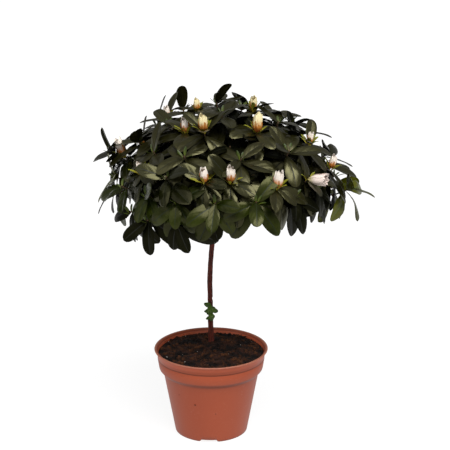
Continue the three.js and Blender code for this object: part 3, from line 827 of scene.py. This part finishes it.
# %% Tiers and directions
CROWN_CENTRE = Vector((17, 12, 282)) * MM
CROWN_REACH = Vector((124, 128, 97)) * MM
SITE_SHARE = 0.66                      # of the reach, where the middle of each mass lies
SEED = 1695
ELEVATION_JITTER = 3                   # degrees
REACH_JITTER = 0.04
FLOWERING_AZIMUTH = 50
SKY = Vector((0, 0, 1))
TIERS = [  # angles in degrees; upright and droop say how far the shoots rise and their leaves hang
    {"elevation": 77, "upright": 0.6, "droop": 0.2, "leaves": 9, "front": (-100, -8, 80),
     "buds": (-100, 80), "behind": 2, "behind_buds": 0},
    {"elevation": 57, "upright": 0.5, "droop": 0.27, "leaves": 8, "front": (-73, -44, -22, 32, 62, 95),
     "buds": (-44, -22, 32), "behind": 5, "behind_buds": 0.4},
    {"elevation": 40, "upright": 0.42, "droop": 0.32, "leaves": 8, "front": (-88, -56, -27, 9, 42, 72),
     "buds": (72,), "behind": 5, "behind_buds": 0.4},
    {"elevation": 23, "upright": 0.36, "droop": 0.4, "leaves": 8,
     "front": (-95, -55, -33, -12, 2, 26, 50, 74), "buds": (-95, -55, -12, 2, 26, 50, 74),
     "behind": 6, "behind_buds": 0.6},
    {"elevation": 12, "upright": 0.3, "droop": 0.55, "leaves": 7,
     "front": (-92, -70, -47, -25, -6, 14, 36, 56, 82), "buds": (), "behind": 6, "behind_buds": 0},
    {"elevation": 3, "upright": 0.4, "droop": 0.3, "leaves": 6, "front": (83,),
     "buds": (), "behind": 0, "behind_buds": 0, "reach": 1.08, "tint": "bright"},
    {"elevation": -2, "upright": 0.2, "droop": 0.85, "leaves": 5, "front": (-60, -42, -26, 104),
     "buds": (), "behind": 5, "behind_buds": 0},
    {"elevation": 20, "upright": 0.15, "droop": 0.15, "leaves": 6, "front": (-101,),
     "buds": (), "behind": 0, "behind_buds": 0, "reach": 1.15},
]


def direction(azimuth, elevation):
    """A direction from the crown's centre: azimuth 0 faces the front and 90 the right."""
    turn, rise = math.radians(azimuth), math.radians(elevation)
    out = math.cos(rise)
    return Vector((math.sin(turn) * out, -math.cos(turn) * out, math.sin(rise)))


def crown_point(azimuth, elevation, share):
    """The point at a share of the crown's reach in that direction."""
    return CROWN_CENTRE + direction(azimuth, elevation) * CROWN_REACH * share


def tier_azimuths(tier):
    """The azimuths on the front, then the others, evenly spread over the arc behind them."""
    front = tier["front"]
    spacing = (front[0] + 360 - front[-1]) / (tier["behind"] + 1)
    return [*front, *(front[-1] + spacing * (i + 1) for i in range(tier["behind"]))]


print("highest shoot tip", round(crown_point(0, 90, 1).z / MM), "mm")

# %% Shoots
def shoots_of(tier, number):
    """Each shoot of a tier: its tip, its direction, how its leaves droop, and its bud."""
    for i, azimuth in enumerate(tier_azimuths(tier)):
        draws = seeded_numbers(SEED + 100 * number + i)
        elevation = tier["elevation"] + ELEVATION_JITTER * (2 * next(draws) - 1)
        reach = tier.get("reach", 1) + REACH_JITTER * (2 * next(draws) - 1)
        tip = crown_point(azimuth, elevation, reach)
        axis = direction(azimuth, elevation).lerp(SKY, tier["upright"]).normalized()
        yield {
            "tip": tip, "axis": axis, "azimuth": azimuth, "elevation": elevation, "draws": draws,
            "droop": tier["droop"], "leaves": tier["leaves"], "tint": tier.get("tint"),
            "flowering": azimuth == FLOWERING_AZIMUTH, "budded": has_bud(tier, i, azimuth, draws),
        }


def has_bud(tier, i, azimuth, draws):
    """Whether a shoot has a bud: as listed on the front, and by chance behind."""
    if i < len(tier["front"]):
        return azimuth in tier["buds"]
    return next(draws) < tier["behind_buds"]


shoots = [shoot for number, tier in enumerate(TIERS) for shoot in shoots_of(tier, number)]
print("shoots:", len(shoots), "of which budded:", sum(s["budded"] for s in shoots))

# %% Masses and boughs
SKIRT_NAMES = ("front", "front_right", "right", "back_right", "back_left", "left", "front_left")
UPPER_NAMES = ("upper_front", "upper_right", "upper_back_right", "upper_back_left", "upper_left")
SKIRT_RING = {"elevation": 5, "turn": -2, "foot": 0.78, "step": 0.012, "stride": 3}
UPPER_RING = {"elevation": 38, "turn": 4, "foot": 0.9, "step": 0.016, "stride": 2}
BOUGH_RADIUS = 1.8 * MM
BOUGH_TIP_RADIUS = 1.3 * MM
BOUGH_SHARE = 0.6                      # of the way from the stem to the middle of its mass
BOUGH_ARCH = 5 * MM
HUB_SHARE = 0.85                       # where a bough splits into twigs
BOUGH_RELIEF = 0.5 * BARK_RELIEF


def ring_of_masses(names, ring):
    """The masses of one ring, with the middle of each and the place where its bough leaves the stem."""
    for i, name in enumerate(names):
        share = ring["foot"] + ring["step"] * ((i * ring["stride"]) % len(names))
        azimuth = ring["turn"] + i * 360 / len(names)
        site = crown_point(azimuth, ring["elevation"], SITE_SHARE)
        yield {"name": name, "site": site, "root": point_along(stem_line, share)[0]}


masses = [{"name": "top", "site": crown_point(0, 90, SITE_SHARE), "root": stem_line[-1]}]
masses += [*ring_of_masses(UPPER_NAMES, UPPER_RING), *ring_of_masses(SKIRT_NAMES, SKIRT_RING)]
for mass in masses:
    mass["hub"] = mass["root"].lerp(mass["site"], HUB_SHARE)
    if mass["name"] == "top":
        mass["line"] = bow(mass["root"], mass["root"].lerp(mass["hub"], 0.5), mass["hub"])
        continue
    tip = mass["root"].lerp(mass["site"], BOUGH_SHARE)
    bend = mass["root"].lerp(tip, 0.5) + SKY * BOUGH_ARCH
    first_part = bow(mass["root"], bend, tip)
    knee = tip + (tip - bend).normalized() * 0.5 * (mass["hub"] - tip).length
    mass["line"] = first_part + bow(tip, knee, mass["hub"])[1:]

bough_bm = bmesh.new()
for mass in masses:
    add_limb(bough_bm, mass["line"], lambda share: mix(BOUGH_RADIUS, BOUGH_TIP_RADIUS, share), 12, 40)
bough_bm.normal_update()
roughen(bough_bm.verts, BOUGH_RELIEF)
bough_nodes = [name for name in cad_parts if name.startswith("bough_")]
add_piece("boughs", mesh_of(bough_bm, "boughs"), [stem_bark], "bark", bough_nodes)

# %% [markdown]
# ## Leaves
# An azalea leaf is oval, widest just past its middle, wedge-shaped at its stalk and bluntly rounded
# at its tip. It is leathery: the midrib lies in a groove, each half swells a little and the edge
# rolls under. A grid of 45 faces bent to that shape is enough, as there are so many of them. The
# narrow middle column of faces has the midrib's own colour, so the rib is part of the mesh.

# %% Leaf templates
LEAF_COLUMNS = (-1, -0.55, -0.07, 0.07, 0.55, 1)   # across, from edge to edge
LEAF_ROWS = 9
LEAF_WIDTH = 0.44                      # all leaf measures are shares of the leaf's length
STALK_WIDTH = 0.035
BASE_POWER = 0.68                      # the larger it is, the more wedge-shaped the base
TIP_POWER = 0.5                        # the smaller it is, the blunter the tip
TIP_CROWDING = 1.45                    # the larger it is, the closer the faces lie at the tip
LEAF_SHAPES = [  # how far the tip drops, the halves fold up, and the edges roll under and wave
    {"arch": 0.16, "fold": 0.52, "roll": 0.38, "wave": 0.06, "bend": 0.03, "twist": 0.2},
    {"arch": 0.3, "fold": 0.38, "roll": 0.46, "wave": 0.1, "bend": -0.05, "twist": -0.35},
    {"arch": 0.05, "fold": 0.64, "roll": 0.4, "wave": 0.05, "bend": -0.02, "twist": 0.05},
    {"arch": 0.42, "fold": 0.32, "roll": 0.34, "wave": 0.12, "bend": 0.06, "twist": 0.4},
]


def leaf_half_width(t, width):
    """Half the leaf's width at a share of its length."""
    widest = BASE_POWER / (BASE_POWER + TIP_POWER)
    peak = widest ** BASE_POWER * (1 - widest) ** TIP_POWER
    return max(STALK_WIDTH, width * t ** BASE_POWER * (1 - t) ** TIP_POWER / peak) / 2


def leaf_template(shape, width=LEAF_WIDTH):
    """A leaf one unit long that grows from the origin along +Y, with its upper side to +Z."""
    bm = bmesh.new()
    uv_layer = bm.loops.layers.uv.new("UVMap")
    columns = len(LEAF_COLUMNS) - 1
    bmesh.ops.create_grid(bm, x_segments=columns, y_segments=LEAF_ROWS, size=0.5)
    for face in bm.faces:
        face.material_index = int(abs(face.calc_center_median().x) < 0.5 / columns)
        for loop in face.loops:
            x, y, _ = loop.vert.co
            loop[uv_layer].uv = (abs(LEAF_COLUMNS[round((x + 0.5) * columns)]), row_share(y + 0.5))
    for vert in bm.verts:
        s = LEAF_COLUMNS[round((vert.co.x + 0.5) * columns)]
        t = row_share(vert.co.y + 0.5)
        half = leaf_half_width(t, width)
        rise = half * (shape["fold"] * abs(s) - shape["roll"] * abs(s) ** 3)
        rise += shape["wave"] * half * s * math.sin(2.5 * math.pi * t)
        turn = shape["twist"] * t
        x = s * half * math.cos(turn) - rise * math.sin(turn) + shape["bend"] * t * t
        z = s * half * math.sin(turn) + rise * math.cos(turn) - shape["arch"] * t * t
        vert.co = (x, t - 0.3 * shape["arch"] * t * t, z)
    return template_of(bm)


def row_share(step):
    """Spaces the rows of faces closer towards the blunt tip."""
    return 1 - (1 - step) ** TIP_CROWDING


leaf_shapes = [leaf_template(shape) for shape in LEAF_SHAPES]
print("faces in a leaf:", len(leaf_shapes[0]["faces"]))

# %% [markdown]
# ### How the leaves stand
# New leaves come at the tip of a shoot, each turned by the golden angle from the last, so that
# they shade each other least. The youngest are short and stand up; the oldest are long, spread
# flat and hang. Side shoots leave each twig lower down and end inside the crown, where they fill
# the gaps with small leaves in the shaded tint, painted dark as the shade inside the crown. A leaf
# that finds no room is turned or left out.

# %% Grow the twigs and leaves
LEAF_LENGTH = 46 * MM
GOLDEN_ANGLE = 137.5
TURN_JITTER = 20
YOUNG_SPREAD = 44                      # degrees away from the twig
OLD_SPREAD = 108
SPREAD_JITTER = 34
YOUNG_SIZE = 0.72
OLD_SIZE = 1.0
SIZE_JITTER = 0.16
LEAF_STEP = 1.5 * MM                   # between leaves along the twig
LEAF_TURNS = (0, 0.5, -0.5, 1.0, -1.0)  # tried in radians, until a leaf finds room
LEAF_APART = 10.5 * MM
LEAF_MIDDLE = 0.55                     # of the leaf's length
SIDE_LEAVES = 4
SIDE_SIZE = 0.92
SIDE_TURN = 13                         # degrees round the crown
SIDE_RISE = 16                         # degrees, the span of their heights
SIDE_REACH = (0.74, 0.9)
SIDE_UPRIGHT = 0.35
SIDE_DROOP = 0.1                       # more than on the main shoot
SIDE_FOOT = 0.55                       # where a side shoot leaves its twig
LOWEST_SIDE = 4                        # degrees, so that no side shoot hangs out of the crown
PAIRED_ABOVE = 18                      # degrees, above which a shoot has two side shoots
SINGLE_ABOVE = 6                       # degrees, above which it has one
TWIG_BEND = 0.4

leaves = {}                            # tint: places of its leaves
leaf_middles = []
twig_lines = []


def leaf_matrix(base, along, up, length):
    """Places a leaf template with its stalk at base, its tip along and its upper side up."""
    matrix = Matrix((along.cross(up), along, up)).transposed().to_4x4() @ Matrix.Scale(length, 4)
    matrix.translation = base
    return matrix


def grow_leaf(base, along, axis, length, tint, shape):
    """Adds one leaf, turned round its shoot until it finds room."""
    for turn in LEAF_TURNS:
        turned = Matrix.Rotation(turn, 3, axis) @ along
        middle = base + turned * LEAF_MIDDLE * length
        if leaf_middles and np.linalg.norm(np.array(leaf_middles) - middle, axis=1).min() < LEAF_APART:
            continue
        up = (axis - turned * axis.dot(turned)).normalized()
        leaf_middles.append(middle)
        leaves.setdefault(tint, []).append((shape, leaf_matrix(base, turned, up, length)))
        return


def grow_rosette(tip, axis, droop, draws, count, tint, size=1):
    """Adds the leaves of one shoot."""
    side = SKY.cross(axis).normalized()
    ahead = axis.cross(side)
    start = 360 * next(draws)
    for i in range(count):
        age = i / (count - 1)
        turn = math.radians(start + GOLDEN_ANGLE * i + TURN_JITTER * (next(draws) - 0.5))
        spread = math.radians(mix(YOUNG_SPREAD, OLD_SPREAD, age) + SPREAD_JITTER * (next(draws) - 0.5))
        length = size * LEAF_LENGTH * (mix(YOUNG_SIZE, OLD_SIZE, age) + SIZE_JITTER * (next(draws) - 0.5))
        along = axis * math.cos(spread)
        along += (side * math.cos(turn) + ahead * math.sin(turn)) * math.sin(spread)
        along.z -= droop * 2 * next(draws)
        shape = int(len(LEAF_SHAPES) * next(draws))
        grow_leaf(tip - axis * LEAF_STEP * (i + 1), along.normalized(), axis, length, tint, shape)


TINTS = {  # from a height in degrees up: tints, each with the number that a draw must be below
    34: (("top_sheen", 0.7), ("dark", 1)),
    15: (("top_sheen", 0.3), ("dark", 0.85), ("olive", 1)),
    # among the lowest shoots some take the shaded tint: painted shade among the lower leaves
    -90: (("shaded", 0.3), ("olive", 0.82), ("bright", 1)),
}


def tint_of(elevation, draw):
    """The tint of one shoot: paler, browner and glossier above, where the paler colour is painted sheen,
    and greener below.
    """
    tints = next(tints for level, tints in TINTS.items() if elevation > level)
    return next(tint for tint, limit in tints if draw < limit)


def twig_line(start, tip, axis):
    """A twig that leaves its start and turns to its shoot's own direction."""
    return bow(start, tip - axis * TWIG_BEND * (tip - start).length, tip, 10)


for shoot in shoots:
    mass = min(masses, key=lambda m: (m["site"] - shoot["tip"]).length)
    tip, axis, draws = shoot["tip"], shoot["axis"], shoot["draws"]
    drawn_tint = tint_of(shoot["elevation"], next(draws))
    shoot["tint"] = shoot["tint"] or drawn_tint
    shoot["twig"] = twig_line(mass["hub"], tip, axis)
    twig_lines.append(shoot["twig"])
    grow_rosette(tip, axis, shoot["droop"], draws, shoot["leaves"], shoot["tint"])



def sides_of(shoot, number):
    """The sides on which a shoot has side shoots: both, either or none, by its height."""
    if shoot["elevation"] > PAIRED_ABOVE:
        return -1, 1
    return ((-1) ** number,) if shoot["elevation"] > SINGLE_ABOVE else ()


for number, shoot in enumerate(shoots):
    draws = shoot["draws"]
    round_share = max(0.3, math.cos(math.radians(shoot["elevation"])))
    for side in sides_of(shoot, number):
        azimuth = shoot["azimuth"] + side * SIDE_TURN / round_share
        elevation = max(LOWEST_SIDE, shoot["elevation"] + SIDE_RISE * (next(draws) - 0.5))
        tip = crown_point(azimuth, elevation, mix(*SIDE_REACH, next(draws)))
        axis = direction(azimuth, elevation).lerp(SKY, SIDE_UPRIGHT).normalized()
        twig_lines.append(twig_line(point_along(shoot["twig"], SIDE_FOOT)[0], tip, axis))
        next(draws)                    # one number is passed over
        # side shoots' leaves take the shaded tint: painted shade inside the crown
        grow_rosette(tip, axis, shoot["droop"] + SIDE_DROOP, draws, SIDE_LEAVES, "shaded", SIDE_SIZE)

print("twigs:", len(twig_lines), "leaves:", {tint: len(places) for tint, places in leaves.items()})

# %% [markdown]
# ### Leaf material
# Azalea leaves are leathery, with a thin waxy skin over fine hairs, so they have a soft satin
# shine. Side veins leave the midrib at a slant and are pressed into the blade. The UV map runs
# from midrib to edge and from stalk to tip, so slanting stripes on it become veins on both halves.
# The green skin under the wax warms the shine, so the specular tint is a pale yellow, which keeps a
# white sky from turning the leaves grey. Five tints run from deep shade to young growth.

# %% Leaf materials
SIDE_VEINS = 8
VEIN_SLANT = 3.2                       # veins crossed on the way from midrib to edge
LEAF_GRAIN = 0.9 * MM
BLOTCH_SIZE = 16 * MM
SHINE = "#fff9ba"
RIB_ROUGHNESS = 0.45
RIB_GLOSS = 0.2


def leaf_material(name, dark, pale, roughness, gloss):
    """Satin leaf skin with slanting side veins, from the piece's own UV map."""
    settings = {"Roughness": roughness, "Specular IOR Level": gloss, "Specular Tint": linear(SHINE)}
    material, tree, surface = new_material(name, settings)
    coordinates = add_node(tree, "TexCoord").outputs
    blotches = add_node(
        tree, "TexNoise", {"Scale": 1 / BLOTCH_SIZE, "Detail": 3.0}, {"Vector": coordinates["Object"]}
    )
    share = add_node(
        tree, "MapRange", {"From Min": 0.35, "From Max": 0.65}, {"Value": blotches.outputs["Fac"]}
    )
    colour = add_node(
        tree, "Mix", {"data_type": "RGBA", "A_Color": linear(dark), "B_Color": linear(pale)},
        {"Factor_Float": share.outputs[0]},
    )
    tree.links.new(colour.outputs[2], surface.inputs["Base Color"])
    slanted = add_node(
        tree, "Mapping", {"Scale": (-VEIN_SLANT, SIDE_VEINS, 1)}, {"Vector": coordinates["UV"]}
    )
    veins = add_node(
        tree, "TexWave", {"bands_direction": "DIAGONAL", "Scale": 0.32, "Distortion": 1.2, "Detail": 2.0},
        {"Vector": slanted.outputs[0]},
    )
    grain = add_node(
        tree, "TexNoise", {"Scale": 1 / LEAF_GRAIN, "Detail": 2.0}, {"Vector": coordinates["Object"]}
    )
    both = add_node(
        tree, "Math", {"operation": "MULTIPLY_ADD", "Value_001": 0.35},
        {"Value": grain.outputs["Fac"], "Value_002": veins.outputs["Fac"]},
    )
    relief = add_node(tree, "Bump", {"Strength": 0.13, "Distance": 0.5 * MM}, {"Height": both.outputs[0]})
    tree.links.new(relief.outputs[0], surface.inputs["Normal"])
    return material


leaf_looks = {  # the blade's material and the midrib's colour
    # the top tint is painted paler than the dark one, as sheen of the light from above
    "top_sheen": (leaf_material("top_sheen_leaf", "#100f03", "#1b1a07", 0.32, 0.54), "#1f1e0b"),
    "dark": (leaf_material("dark_leaf", "#080902", "#111303", 0.26, 0.42), "#161807"),
    "olive": (leaf_material("olive_leaf", "#0d1302", "#202704", 0.3, 0.26), "#1a210a"),
    "bright": (leaf_material("sunlit_leaf", "#2c2f03", "#4a4c0b", 0.34, 0.2), "#404c15"),
    "shaded": (leaf_material("shaded_leaf", "#030401", "#080902", 0.4, 0.08), "#0c0e04"),
}
for tint, (blade, rib_colour) in leaf_looks.items():
    rib_look = {
        "Base Color": linear(rib_colour), "Roughness": RIB_ROUGHNESS, "Specular IOR Level": RIB_GLOSS,
    }
    rib = new_material(tint + "_midrib", rib_look)[0]
    leaf_mesh = copies_mesh("leaves_" + tint + "_tint", leaf_shapes, leaves[tint])
    add_piece(leaf_mesh.name, leaf_mesh, [blade, rib], "foliage")

# %% Twigs
TWIG_RADIUS = 1.2 * MM
TWIG_TIP_RADIUS = 0.8 * MM

twig_bm = bmesh.new()
for line in twig_lines:
    add_limb(twig_bm, line, lambda share: mix(TWIG_RADIUS, TWIG_TIP_RADIUS, share), 6, 8)
leaf_nodes = [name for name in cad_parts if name.startswith("leaves_")]
add_piece("twigs", mesh_of(twig_bm, "twigs"), [twig_bark], "foliage", leaf_nodes)

# %% [markdown]
# ## Buds and the first flower
# A flower bud stands at the tip of a shoot. Its petals are furled, each over the next, in a spiral.
# They are creamy white where they have come out, and orange brown scales still clasp their foot.
# Each petal is a small grid that is wrapped round the bud's axis; its outline says how far from
# the axis it is at each height. The same wrapping makes the scales and the half open flower.

# %% Wrapped petals
PETAL_COLUMNS = 6
PETAL_ROWS = 8
BUD_PROFILE = ((0, 0.2, 0.45, 0.7, 0.88, 1), (0.4, 0.88, 1, 0.88, 0.66, 0.42))
SCALE_PROFILE = ((0, 0.35, 0.7, 1), (0.5, 0.98, 1.08, 1.12))
FLOWER_PROFILE = ((0, 0.2, 0.45, 0.7, 1), (0.3, 0.72, 1, 0.98, 1.02))
HEIGHT_STEP = 0.618                    # spreads the petals' unequal heights evenly


def wrapped_template(count, profile, radius, span, twist, point, ruffle=0.0, uneven=0.0):
    """Petals one unit long round +Z; span and twist in degrees. The larger the point, the blunter."""
    bm = bmesh.new()
    uv_layer = bm.loops.layers.uv.new("UVMap")
    for number in range(count):
        grid = bmesh.ops.create_grid(bm, x_segments=PETAL_COLUMNS, y_segments=PETAL_ROWS, size=0.5)
        height = 1 - uneven * (number * HEIGHT_STEP % 1)
        for vert in grid["verts"]:
            s, t = 2 * vert.co.x, vert.co.y + 0.5
            for loop in vert.link_loops:
                loop[uv_layer].uv = (abs(s), t)
            wave = ruffle * t ** 3 * math.sin(9 * s + 2.3 * number)
            narrowing = (1 - t ** point) ** 0.5 if t < 1 else 0.08
            angle = math.tau * number / count + math.radians(s * span / 2 * narrowing + twist * t)
            out = radius * (np.interp(t * height, *profile) + 0.09 * s) + wave
            vert.co = (out * math.cos(angle), out * math.sin(angle), t * height + 0.5 * wave)
    return template_of(bm)


petal_shape = wrapped_template(
    5, BUD_PROFILE, radius=0.23, span=140, twist=60, point=4, ruffle=0.05, uneven=0.25
)
scale_shape = wrapped_template(
    9, SCALE_PROFILE, radius=0.37, span=56, twist=10, point=1, ruffle=0.02, uneven=0.5
)
flower_shape = wrapped_template(6, FLOWER_PROFILE, radius=0.27, span=115, twist=25, point=7, ruffle=0.07)
young_shape = {"arch": 0.12, "fold": 0.6, "roll": 0.2, "wave": 0, "bend": 0.03, "twist": 0.1}
young_leaf = leaf_template(young_shape, width=0.3)
print("faces in a bud's petals:", len(petal_shape["faces"]))

# %% Where the buds stand
BUD_LENGTH = 21 * MM
BUD_SIZES = (0.62, 1.1)
BUD_UPRIGHT = 0.6
BUD_SINK = 2 * MM
SCALES_SHARE = 0.6                     # of the bud's length that its scales cover
FLOWER_LENGTH = 21 * MM
FLOWER_SCALES_SHARE = 0.35
FLOWER_FACING = Vector((0.85, -0.42, 0.1)).normalized()
CREAM_SHARE = 0.35                     # of the buds
YOUNG_LEAVES = 9
YOUNG_LENGTHS = (9 * MM, 16 * MM)
YOUNG_RADIUS = 2 * MM                  # from the shoot's axis to the foot of a young leaf
YOUNG_STEP = 0.4 * MM                  # between young leaves along the axis
YOUNG_SPREADS = (16, 55)               # degrees away from the axis
YOUNG_JITTER = 40                      # degrees round it
TIP_LEAVES = 4                         # on a shoot without a bud
TIP_SIZE = 0.75


def standing(base, axis, size, turn):
    """A matrix that stands a template on its base, along the axis."""
    spin = Matrix.Rotation(turn, 4, "Z") @ Matrix.Scale(size, 4)
    return Matrix.Translation(base) @ axis.to_track_quat("Z", "Y").to_matrix().to_4x4() @ spin


def young_tuft(base, axis, draws, count, size):
    """Slim young leaves that stand round the tip of a shoot."""
    side = axis.orthogonal().normalized()
    for i in range(count):
        turn = Matrix.Rotation(math.radians(GOLDEN_ANGLE * i + YOUNG_JITTER * next(draws)), 3, axis)
        spread = math.radians(mix(*YOUNG_SPREADS, next(draws)))
        along = (axis * math.cos(spread) + turn @ side * math.sin(spread)).normalized()
        up = (axis - along * axis.dot(along)).normalized()
        foot = base + (turn @ side) * YOUNG_RADIUS - axis * YOUNG_STEP * i
        yield 0, leaf_matrix(foot, along, up, size * mix(*YOUNG_LENGTHS, next(draws)))


white_buds, cream_buds, scales, flowers, young_leaves, green_tips = [], [], [], [], [], []
for shoot in shoots:
    draws = shoot["draws"]
    axis = shoot["axis"].lerp(SKY, BUD_UPRIGHT).normalized()
    base = shoot["tip"] - axis * BUD_SINK
    turn = math.tau * next(draws)
    if shoot["flowering"]:
        flowers.append((0, standing(base, FLOWER_FACING, FLOWER_LENGTH, turn)))
        scales.append((0, standing(base, FLOWER_FACING, FLOWER_LENGTH * FLOWER_SCALES_SHARE, turn)))
        young_leaves += young_tuft(base, axis, draws, YOUNG_LEAVES - 2, 1)
    elif shoot["budded"]:
        length = BUD_LENGTH * mix(*BUD_SIZES, next(draws))
        buds = cream_buds if next(draws) < CREAM_SHARE else white_buds
        buds.append((0, standing(base, axis, length, turn)))
        scales.append((0, standing(base, axis, length * SCALES_SHARE, turn)))
        young_leaves += young_tuft(base, axis, draws, YOUNG_LEAVES, 1)
    else:
        green_tips += young_tuft(base, axis, draws, TIP_LEAVES, TIP_SIZE)
print("buds:", len(white_buds) + len(cream_buds), "young leaves:", len(young_leaves))

# %% [markdown]
# ### Petals, scales and young leaves
# Petals are thin and soft with a waxy bloom: nearly matt, pale, and flushed with orange at the
# foot, where the scales held them. The scales are papery brown with a little green at the tip.
# Young leaves are thinner than old ones and yellow green. The UV map's height sets each blend.

# %% Petal and young leaf materials
MOTTLE_SIZE = 2.5 * MM
MOTTLE_SHARE = 0.4                     # how far the mottle shifts the change of colour


def blended_material(name, foot, tip, start, end, roughness):
    """A soft plant skin that turns from one colour at its foot to another further up."""
    material, tree, surface = new_material(name, {"Roughness": roughness, "Specular IOR Level": 0.3})
    coordinates = add_node(tree, "TexCoord").outputs
    height = add_node(tree, "SeparateXYZ", {}, {"Vector": coordinates["UV"]}).outputs["Y"]
    mottle = add_node(tree, "TexNoise", {"Scale": 1 / MOTTLE_SIZE}, {"Vector": coordinates["Object"]})
    moved = add_node(
        tree, "Math", {"operation": "MULTIPLY_ADD", "Value_001": MOTTLE_SHARE},
        {"Value": mottle.outputs["Fac"], "Value_002": height},
    )
    share = add_node(
        tree, "MapRange",
        {"From Min": start + MOTTLE_SHARE / 2, "From Max": end + MOTTLE_SHARE / 2},
        {"Value": moved.outputs[0]},
    )
    colour = add_node(
        tree, "Mix", {"data_type": "RGBA", "A_Color": linear(foot), "B_Color": linear(tip)},
        {"Factor_Float": share.outputs[0]},
    )
    tree.links.new(colour.outputs[2], surface.inputs["Base Color"])
    relief = add_node(
        tree, "Bump", {"Strength": 0.3, "Distance": 0.3 * MM}, {"Height": mottle.outputs["Fac"]}
    )
    tree.links.new(relief.outputs[0], surface.inputs["Normal"])
    return material


white_petal = blended_material("white_petal", "#c87a34", "#e3d8cc", 0.3, 0.62, 0.55)
cream_petal = blended_material("cream_petal", "#c07a2c", "#e0d2a4", 0.25, 0.65, 0.55)
open_petal = blended_material("open_petal", "#b9b074", "#ddccc2", 0.02, 0.4, 0.6)
bud_scale = blended_material("bud_scale", "#6e2c10", "#b8742c", 0.1, 0.7, 0.6)
young_green = blended_material("young_leaf", "#a3942c", "#74761f", 0.1, 0.8, 0.5)
tip_green = blended_material("shoot_tip_leaf", "#4c5612", "#2c380b", 0.1, 0.8, 0.5)
for soft_name, soft_shape, soft_places, soft_looks, soft_slot in (
    ("white_bud_petals", petal_shape, white_buds, [white_petal], None),
    ("cream_bud_petals", petal_shape, cream_buds, [cream_petal], None),
    ("bud_scales", scale_shape, scales, [bud_scale], None),
    ("half_open_flower", flower_shape, flowers, [open_petal], None),
    ("young_leaves", young_leaf, young_leaves, [young_green, young_green], "fresh_leaf"),
    ("shoot_tip_leaves", young_leaf, green_tips, [tip_green, tip_green], "fresh_leaf"),
):
    add_piece(soft_name, copies_mesh(soft_name, [soft_shape], soft_places), soft_looks, soft_slot)

# %% [markdown]
# ## The sprout on the stem
# A bare stem that is pruned often breaks into leaf again. This tuft of small leaves sits on the
# front of the stem, a quarter of the way up, where its solid is. Its leaves are thin, broad and
# freshly green, with the soft skin of other young leaves.

# %% Sprout
SPROUT_SEED = 77
SPROUT_SHARE = 0.24                    # of the stem's length, where it sits
SPROUT_LEAVES = 16
SPROUT_LENGTHS = (5 * MM, 10 * MM)
SPROUT_LEVELS = (-7 * MM, 8 * MM)      # below and above its middle
SPROUT_DEPTHS = (2.5 * MM, 4 * MM)     # from the stem's middle to the feet of the leaves
SPROUT_LEANS = (0.1, 0.9)              # how far the leaves turn outwards
SPROUT_OUT = Vector((0.25, -1, 0)).normalized()

sprout_draws = seeded_numbers(SPROUT_SEED)
sprout_root = point_along(stem_line, SPROUT_SHARE)[0]
sprout_side = SKY.cross(SPROUT_OUT)
sprout_leaves = []
for number in range(SPROUT_LEAVES):
    turn = math.radians(GOLDEN_ANGLE * number)
    level = SKY * mix(*SPROUT_LEVELS, next(sprout_draws))
    across = sprout_side * math.cos(turn) + SKY * math.sin(turn)
    along = (across + SPROUT_OUT * mix(*SPROUT_LEANS, next(sprout_draws))).normalized()
    up = (SPROUT_OUT - along * SPROUT_OUT.dot(along)).normalized()
    base = sprout_root + level + SPROUT_OUT * mix(*SPROUT_DEPTHS, next(sprout_draws))
    sprout_leaves.append((0, leaf_matrix(base, along, up, mix(*SPROUT_LENGTHS, next(sprout_draws)))))
sprout_leaf = {"arch": 0.4, "fold": 0.5, "roll": 0.3, "wave": 0.2, "bend": 0.1, "twist": 0.4}
sprout_green = blended_material("sprout_leaf", "#4f6a1d", "#2f4416", 0.2, 0.9, 0.45)
sprout_mesh = copies_mesh("stem_sprout_leaves", [leaf_template(sprout_leaf, width=0.62)], sprout_leaves)
add_piece("stem_sprout_leaves", sprout_mesh, [sprout_green, sprout_green], "fresh_leaf", ["stem_sprout"])
